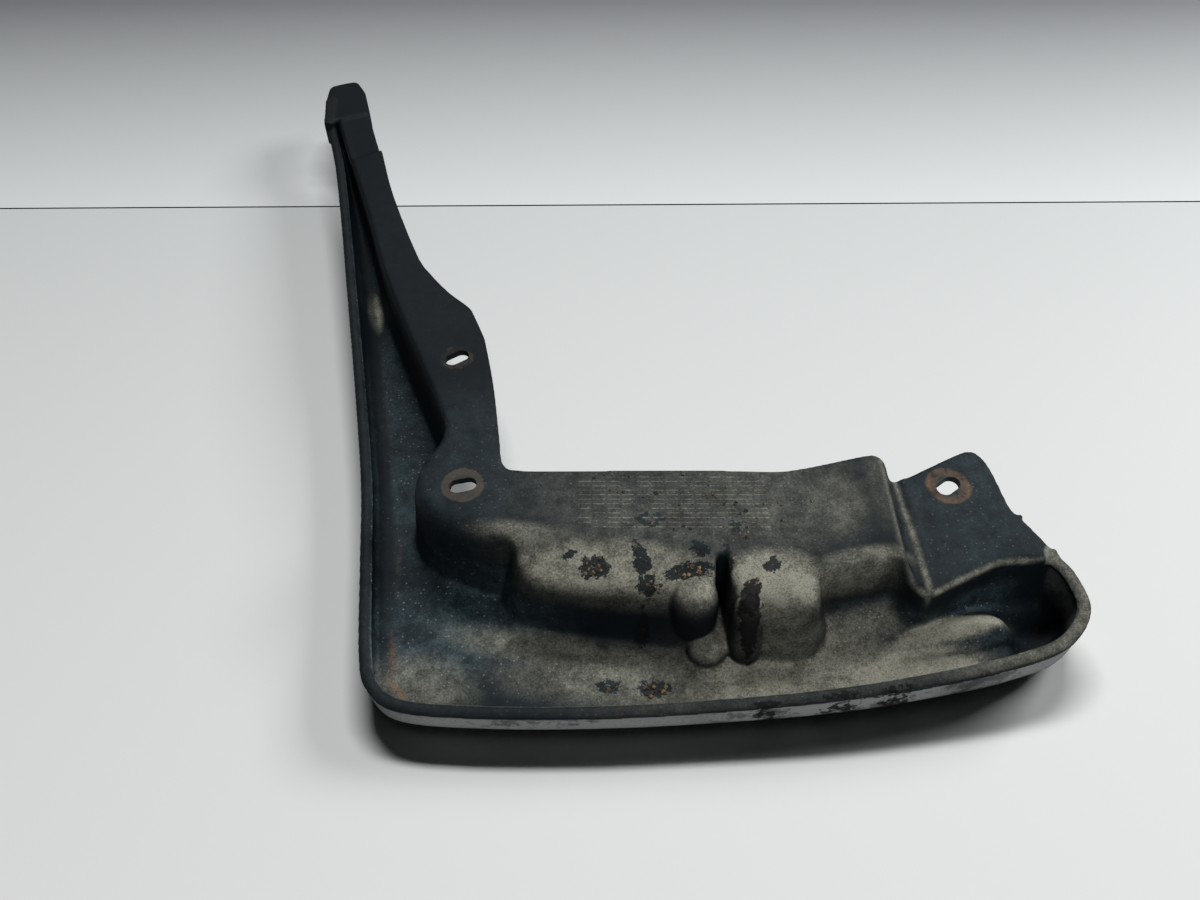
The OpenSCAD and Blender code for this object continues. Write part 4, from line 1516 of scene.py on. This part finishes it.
    def dusted_and_highlighted(self, nodes: Surface, cloud: Socket, fine: Socket, ragged: Socket) -> tuple:
        """Lays haze and dust, which carry painted highlights, and the dust's pale specks on the plastic, with flakes of
        dust fallen out.

        Args:
            nodes: The material under construction.
            cloud: Lumps of noise as wide as a fingertip.
            fine: Noise of about a millimetre.
            ragged: Noise for the flakes' edges.

        Returns:
            How dusty the surface is, painted highlights included, and its colour.
        """
        maths, between, product = nodes.math, nodes.between, nodes.product
        noises = (cloud, nodes.noise(*self.broad), fine)
        haze_and_highlight = self.covered(nodes, "haze_and_highlight", noises, self.haze_cover)
        dust_and_highlight = self.covered(nodes, "dust_and_highlight", noises, self.dust_cover)
        flake = product(self.broken(nodes, "flake", ragged, 0.62, (0.44, 0.50)),
                        between(nodes.amount("flake"), 0.03, 0.12), self.flake_clean)
        dust_and_highlight = product(dust_and_highlight, maths("SUBTRACT", 1.0, flake))
        grains = maths("MULTIPLY_ADD", cloud, 0.35, product(nodes.noise(*self.grain), 0.65))
        colour = nodes.mixed(haze_and_highlight, self.base, self.haze_and_highlight)
        colour = nodes.mixed(dust_and_highlight, colour, nodes.mixed(between(grains, 0.31, 0.60), self.deep_dust, self.dust_and_highlight))
        speck = nodes.add("ShaderNodeTexVoronoi", {"Vector": nodes.place, "Scale": 1 / (self.speck_width * MM),
                                                   "Randomness": 1.0}).outputs
        dot = product(between(speck["Distance"], 0.30, 0.12), between(speck["Color"], 0.62, 0.75))
        on_haze, on_dust = self.film_shares
        sparkle = maths("ADD", product(nodes.amount("haze_and_highlight"), on_haze), product(dust_and_highlight, on_dust))
        return dust_and_highlight, nodes.mixed(product(dot, sparkle, clamp=True), colour, self.film)

    def marked(self, nodes: Surface, cloud: Socket, fine: Socket, colour: Socket) -> tuple:
        """Lays scuffs, with their painted shade toward the skirt's foot, the washers' prints and rust over the colour.

        Args:
            nodes: The material under construction.
            cloud: Lumps of noise as wide as a fingertip.
            fine: Noise of about a millimetre.
            colour: The surface's colour.

        Returns:
            How scuffed, painted shade included, and how rusty the surface is, and its colour.
        """
        between = nodes.between
        chips = nodes.math("ADD", between(cloud, 0.25, 0.75), between(nodes.noise(*self.streaks), 0.3, 0.7))
        scuffed_and_shaded = self.covered(nodes, "scuff_and_shade", (chips, fine), self.scuff_cover)
        colour = nodes.mixed(scuffed_and_shaded, colour, self.scuff_and_shade)
        ring = nodes.math("ADD", nodes.amount("washer"), between(cloud, 0.2, 0.8, (-0.3, 0.3)))
        colour = nodes.mixed(nodes.product(between(ring, 0.45, 0.75), self.print_share), colour, self.print_tone)
        rusty = self.covered(nodes, "rust", (cloud, fine), self.rust_cover)
        return scuffed_and_shaded, rusty, nodes.mixed(rusty, colour, self.rust)


@dataclass(frozen=True)
class Soil:
    """Dried soil, tan to dark brown from crumb to crumb."""

    dark: tuple = (0.018, 0.014, 0.011)
    light: tuple = (0.25, 0.165, 0.085)
    lump_width: float = 2.4
    grain_width: float = 0.35
    light_lumps: tuple = (0.48, 0.72)
    rough: float = 0.95
    relief: tuple = (0.6, 0.2)

    def material(self) -> bpy.types.Material:
        """Builds the material."""
        nodes = Surface("dry_soil")
        lump, grain = (nodes.add("ShaderNodeTexNoise", {"Vector": nodes.place, "Scale": 1 / (width * MM),
                                                        "Detail": detail}).outputs[0]
                       for width, detail in ((self.lump_width, 3.0), (self.grain_width, 4.0)))
        low, high = self.light_lumps
        share = nodes.add("ShaderNodeMapRange", {0: lump, 1: low, 2: high}).outputs[0]
        return nodes.finish({"Base Color": nodes.mixed(share, self.dark, self.light), "Roughness": self.rough,
                             "Normal": nodes.relief(*self.relief, grain)})


# ---------------------------------------------------------------- small things on the skin


@dataclass(frozen=True)
class Crumbs:
    """Soil crumbs scattered where the wear says they lie."""

    per_square: float = 0.42
    least: float = 0.35
    most: float = 1.0
    small_share: float = 2.6
    lump_scale: float = 1.6
    lump_push: float = 2.0
    full_turn: float = 6.28
    seed: int = 7

    def mesh(self, ground: bpy.types.Mesh, finish: bpy.types.Material) -> bpy.types.Mesh:
        """Scatters the crumbs.

        Args:
            ground: A mesh in millimetres with a crumb attribute.
            finish: The crumbs' material.

        Returns:
            The crumbs' mesh, in millimetres.
        """
        sizes = {"Crumbs in a square millimetre": self.per_square, "Least radius": self.least,
                 "Most radius": self.most, "Seed": self.seed, "Material": finish}
        shape = NodeShape("soil_crumbs", sizes)
        nodes, source = shape.nodes, shape.input.outputs["Geometry"]
        where = nodes.add("GeometryNodeInputNamedAttribute", {"Name": "crumb"}, data_type="FLOAT")
        density = nodes.math("MULTIPLY", where.outputs[0], shape.size("Crumbs in a square millimetre"))
        points = nodes.add("GeometryNodeDistributePointsOnFaces", {0: source, "Density": density,
                                                                   "Seed": shape.size("Seed")})
        ball = nodes.add("GeometryNodeMeshIcoSphere", {"Radius": 1.0, "Subdivisions": 2})
        rough = nodes.add("ShaderNodeTexNoise", {"Scale": self.lump_scale, "Detail": 3.0})
        lump = nodes.add("ShaderNodeVectorMath", {0: rough.outputs["Color"], 1: (0.5, 0.5, 0.5)}, operation="SUBTRACT")
        push = nodes.add("ShaderNodeVectorMath", {0: lump.outputs[0], "Scale": self.lump_push},
                         operation="SCALE")
        crumb = nodes.add("GeometryNodeSetPosition", {0: ball.outputs[0], "Offset": push.outputs[0]})
        size = nodes.add("FunctionNodeRandomValue", {"Seed": shape.size("Seed")}, data_type="FLOAT")
        skewed = nodes.math("POWER", size.outputs[1], self.small_share)
        span = nodes.math("SUBTRACT", shape.size("Most radius"), shape.size("Least radius"))
        radius = nodes.math("MULTIPLY_ADD", skewed, span, shape.size("Least radius"))
        turn = nodes.add("FunctionNodeRandomValue", {0: (0.0, 0.0, 0.0), 1: (self.full_turn,) * 3,
                                                     "Seed": shape.size("Seed")}, data_type="FLOAT_VECTOR")
        placed = nodes.add("GeometryNodeInstanceOnPoints", {0: points.outputs[0], "Instance": crumb.outputs[0],
                                                            "Rotation": turn.outputs[0], "Scale": radius})
        shape.finish(placed.outputs[0])
        return shape.on(linked("crumb_ground", ground.copy()))


@dataclass(frozen=True)
class Hatching:
    """Fine raised lines moulded in the plate, in rows broken into dashes."""

    low: tuple = (31.0, -28.0)
    high: tuple = (99.0, -4.0)
    spacing: float = 2.1
    dash: float = 5.6
    dash_share: float = 0.86
    share_kept: float = 0.8
    width: float = 0.5
    height: float = 0.10
    seed: int = 3

    def mesh(self, level: float, finish: bpy.types.Material) -> bpy.types.Mesh:
        """Rules the lines on a flat face.

        Args:
            level: The face's level, in millimetres.
            finish: The lines' material.

        Returns:
            The lines' mesh, in millimetres.
        """
        span = (self.high[0] - self.low[0], self.high[1] - self.low[1])
        sizes = {"Length": span[0], "Depth": span[1], "Columns": int(span[0] / self.dash) + 1,
                 "Rows": int(span[1] / self.spacing) + 1, "Dash": self.dash * self.dash_share, "Line width": self.width,
                 "Line height": self.height, "Share kept": self.share_kept, "Seed": self.seed, "Material": finish}
        shape = NodeShape("hatch_lines", sizes)
        nodes = shape.nodes
        grid = nodes.add("GeometryNodeMeshGrid", {0: shape.size("Length"), 1: shape.size("Depth"),
                                                  2: shape.size("Columns"), 3: shape.size("Rows")})
        keep = nodes.add("FunctionNodeRandomValue", {"Probability": shape.size("Share kept"),
                                                     "Seed": shape.size("Seed")}, data_type="BOOLEAN")
        extent = nodes.add("ShaderNodeCombineXYZ", {"X": shape.size("Dash"), "Y": shape.size("Line width"),
                                                    "Z": shape.size("Line height")})
        bar = nodes.add("GeometryNodeMeshCube", {"Size": extent.outputs[0]})
        placed = nodes.add("GeometryNodeInstanceOnPoints", {0: grid.outputs[0], "Selection": keep.outputs[3],
                                                            "Instance": bar.outputs[0]})
        middle = [(a + b) / 2 for a, b in zip(self.low, self.high)]
        moved = nodes.add("GeometryNodeTransform", {0: placed.outputs[0], "Translation": (*middle, level)})
        shape.finish(moved.outputs[0])
        return shape.on(linked("hatch_base", bpy.data.meshes.new("hatch_base")))


# ---------------------------------------------------------------- the flap


class Smoothing:
    """The uncut skin's shading, so that cuts between regions don't show."""

    SHARP = math.cos(math.radians(38))

    def __init__(self, mesh: bpy.types.Mesh) -> None:
        """Keeps the uncut skin's points and directions."""
        points = places_of(mesh)
        normals = np.empty(len(mesh.vertices) * 3, np.float32)
        mesh.vertices.foreach_get("normal", normals)
        self.normals = normals.reshape(-1, 3).astype(float)
        self.tree = KDTree(len(points))
        for i, p in enumerate(points):
            self.tree.insert(p, i)
        self.tree.balance()

    def shade(self, mesh: bpy.types.Mesh, points: np.ndarray) -> np.ndarray:
        """Shades a region as the whole skin is, and its cut faces flat.

        Args:
            mesh: The region's mesh, in millimetres.
            points: Its points.

        Returns:
            The skin's direction at each point.
        """
        found = np.array([self.tree.find(p)[1] for p in points])
        normals = self.normals[found]
        corners = np.empty(len(mesh.loops), np.int32)
        mesh.loops.foreach_get("vertex_index", corners)
        starts = np.empty(len(mesh.polygons), np.int32)
        totals = np.empty(len(mesh.polygons), np.int32)
        flat = np.empty(len(mesh.polygons) * 3, np.float32)
        mesh.polygons.foreach_get("loop_start", starts)
        mesh.polygons.foreach_get("loop_total", totals)
        mesh.polygons.foreach_get("normal", flat)
        flat = np.repeat(flat.reshape(-1, 3).astype(float), totals, axis=0)
        shaded = normals[corners]
        cut_face = np.sum(flat * shaded, axis=1) < self.SHARP
        owner = np.repeat(np.arange(len(totals)), totals)
        whole_face = np.bincount(owner, cut_face, len(totals)) > 0
        shaded[whole_face[owner]] = flat[whole_face[owner]]
        mesh.polygons.foreach_set("use_smooth", np.ones(len(totals), bool))
        mesh.normals_split_custom_set(shaded.tolist())
        return normals


@dataclass
class MudFlap:
    """The whole flap: its skin in regions, its crumbs and its moulded lines."""

    skin: Skin = field(default_factory=Skin)
    hatching: Hatching = field(default_factory=Hatching)
    crumbs: Crumbs = field(default_factory=Crumbs)
    line_dust: float = 0.25

    def __post_init__(self) -> None:
        """Makes the finishes and works out the wear and the painted light."""
        self.finishes = {finish: Plastic(finish).material() for finish in Finish}
        self.wear_and_painted_light = WearAndPaintedLight(self.skin, RimWearAndPaintedLight(self.skin.rim))

    def build(self) -> None:
        """Builds, dresses and reports every piece."""
        whole = self.skin.fused(self.finishes[Finish.BLACK])
        smooth = Smoothing(whole.data)
        meshes = Regions(self.skin).cut(whole)
        soil = Soil().material()
        heap = bmesh.new()
        for region, mesh in meshes.items():
            self.dress(mesh, smooth)
            if region.finish is Finish.DUSTY:
                heap.from_mesh(self.crumbs.mesh(mesh, soil))
            mesh.materials.clear()
            mesh.materials.append(self.finishes[region.finish])
            self.piece(region.name, mesh, region.finish, region.nodes)
        scattered = bpy.data.meshes.new("soil_crumbs")
        heap.to_mesh(scattered)
        heap.free()
        scattered.materials.append(soil)
        self.piece("soil_crumbs", scattered, Finish.DUSTY, ())
        lines = self.hatching.mesh(self.skin.levels.plate, self.finishes[Finish.DUSTY])
        self.dress(lines, None)
        self.lighten(lines)
        self.piece("hatch_lines", lines, Finish.DUSTY, ())

    def dress(self, mesh: bpy.types.Mesh, smooth: Smoothing | None) -> None:
        """Gives a mesh its attributes of wear and painted light, and its smooth shading.

        Args:
            mesh: The mesh, in millimetres.
            smooth: The uncut skin's shading, or nothing for a level mesh.
        """
        points = places_of(mesh)
        if smooth:
            normals = smooth.shade(mesh, points)
        else:
            normals = np.tile((0.0, 0.0, 1.0), (len(points), 1))
        for name, values in self.wear_and_painted_light.masks(points, normals).items():
            layer = mesh.attributes.new(name, "FLOAT", "POINT")
            layer.data.foreach_set("value", values.astype(np.float32))

    def lighten(self, mesh: bpy.types.Mesh) -> None:
        """Adds to the dust that the raised lines catch."""
        for item in mesh.attributes["dust_and_highlight"].data:
            item.value += self.line_dust

    def piece(self, name: str, mesh: bpy.types.Mesh, finish: Finish, nodes: tuple) -> None:
        """Args:
            name: The piece's name.
            mesh: Its mesh, in millimetres.
            finish: Not used.
            nodes: The frame's nodes it stands for.
        """
        mesh.name = name
        points = Place.to_frame(places_of(mesh))
        mesh.vertices.foreach_set("co", points.astype(np.float32).ravel())
        mesh.update()
        obj = linked(name, mesh)
        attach(obj, "root")
        if nodes:
            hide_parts(*nodes)
        log.info("%s: %d faces, stands for %s", name, len(mesh.polygons), ", ".join(nodes) or "nothing in the frame")


# ---------------------------------------------------------------- the studio


@dataclass(frozen=True)
class Sheet:
    """A stage sheet: its ends and level, and the places its colours run between, in metres along Y."""

    name: str
    ends: tuple
    level: float
    colours: tuple
    run: tuple = ()


@dataclass(frozen=True)
class Lamp:
    """A soft lamp that faces the origin: its place and size in metres, and its power in watts."""

    name: str
    at: tuple
    size: tuple
    power: float


@dataclass
class Studio:
    """A pale floor whose far edge meets a backdrop, soft lamps and the camera."""

    seam: float = 121.2
    slant: float = 0.0096
    half_size: float = 6.0
    floor_stop: float = 0.0009
    backdrop_start: float = 0.0002
    gap_reach: float = 0.01
    gap_depth: float = 0.0006
    shade_start: float = -0.34
    shade_depth: float = 0.24
    sheet_rough: float = 0.6
    sheet_specular: float = 0.25
    # The floor darkens toward the seam, and the backdrop darkens away from it: painted light falloff.
    floor_colour: tuple = (0.90, 0.915, 0.905)
    floor_back_shade: tuple = (0.54, 0.56, 0.56)
    gap_colour: tuple = (0.16, 0.18, 0.18)
    near_colour: tuple = (0.61, 0.63, 0.635)
    backdrop_far_shade: tuple = (0.150, 0.157, 0.165)
    sky_colour: tuple = (0.93, 0.97, 1.0)
    eye: tuple = (-11.17, -350.86, 345.57)
    tilt: float = 40.0
    sky: float = 0.006
    seen_sky: float = 0.62
    lens: float = 30.0
    sensor: float = 36.0
    lamps: tuple = (Lamp("high", (0.05, 1.00, 1.73), (1.2, 0.25), 35.0),
                    Lamp("side", (1.49, 0.86, 1.03), (0.8, 0.6), 26.0),
                    Lamp("fill", (0.25, -1.30, 1.50), (1.2, 0.80), 20.0))

    def build(self) -> None:
        """Builds the studio."""
        self.light(self.floor())
        self.surround()
        scene = bpy.context.scene
        camera = bpy.data.objects.new("camera", bpy.data.cameras.new("camera"))
        camera.data.lens, camera.data.sensor_width = self.lens, self.sensor
        camera.data.clip_start = 0.01
        camera.location = Vector(self.eye) * MM
        camera.rotation_euler = (math.radians(self.tilt), 0, 0)
        scene.collection.objects.link(camera)
        scene.camera = camera
        scene.view_settings.view_transform = "Standard"

    def floor(self) -> list:
        """Lays the floor up to its seam, the backdrop behind it and the dark gap between them."""
        seam, far = self.seam * MM, self.half_size
        sheets = []
        floor_colours, backdrop_colours = (self.floor_colour, self.floor_back_shade), (self.near_colour, self.backdrop_far_shade)
        for sheet in (Sheet("floor", (-far, seam - self.floor_stop), 0, floor_colours, (self.shade_start, seam)),
                      Sheet("backdrop", (seam + self.backdrop_start, far), 0, backdrop_colours,
                            (seam, seam + self.shade_depth)),
                      Sheet("seam_gap", (seam - self.gap_reach, seam + self.gap_reach), -self.gap_depth,
                            (self.gap_colour,))):
            mesh = bpy.data.meshes.new(sheet.name)
            points = [(x, y + x * self.slant, sheet.level) for y in sheet.ends for x in (-far, far)]
            mesh.from_pydata(points, [], [(0, 1, 3, 2)])
            mesh.materials.append(self.sheet_material(sheet))
            sheets.append(linked(sheet.name, mesh))
        return sheets

    def sheet_material(self, sheet: Sheet) -> bpy.types.Material:
        """Builds a sheet's material, whose colour runs along Y where it has two: painted light falloff, darker toward
        the back.
        """
        nodes = Surface(sheet.name)
        colour = (*sheet.colours[0], 1)
        if sheet.run:
            along = nodes.add("ShaderNodeSeparateXYZ", {0: nodes.place}).outputs["Y"]
            share = nodes.add("ShaderNodeMapRange", {0: along, 1: sheet.run[0], 2: sheet.run[1]}).outputs[0]
            colour = nodes.mixed(share, *sheet.colours)
        return nodes.finish({"Base Color": colour, "Roughness": self.sheet_rough,
                             "Specular IOR Level": self.sheet_specular})

    def light(self, sheets: list) -> None:
        """Hangs a lamp high behind, one at the side and a fill in front.

        Args:
            sheets: The stage sheets, which the fill spares.
        """
        spared = bpy.data.collections.new("spared_by_fill")
        for sheet in sheets:
            spared.objects.link(sheet)
        for item in spared.collection_objects:
            item.light_linking.link_state = "EXCLUDE"
        for lamp in self.lamps:
            light = bpy.data.lights.new(lamp.name, "AREA")
            light.shape, light.size, light.size_y, light.energy = "RECTANGLE", *lamp.size, lamp.power
            obj = bpy.data.objects.new(lamp.name, light)
            obj.location = lamp.at
            obj.rotation_euler = (-Vector(lamp.at)).to_track_quat("-Z", "Y").to_euler()
            bpy.context.scene.collection.objects.link(obj)
            if lamp.name == "fill":
                obj.light_linking.receiver_collection = spared

    def surround(self) -> None:
        """Makes a plain sky, brighter to the camera than to the flap."""
        world = bpy.data.worlds.new("sky")
        world.use_nodes = True
        nodes = Tree(world.node_tree)
        seen = nodes.add("ShaderNodeLightPath").outputs["Is Camera Ray"]
        strength = nodes.math("MULTIPLY_ADD", seen, self.seen_sky - self.sky, self.sky)
        sky = nodes.add("ShaderNodeBackground", {"Color": (*self.sky_colour, 1), "Strength": strength})
        nodes.add("ShaderNodeOutputWorld", {0: sky.outputs[0]})
        bpy.context.scene.world = world


def main() -> None:
    """Builds the flap and the studio."""
    logging.basicConfig(level=logging.INFO, format="%(name)s: %(message)s")
    MudFlap().build()
    Studio().build()


if __name__ == "__main__":
    main()
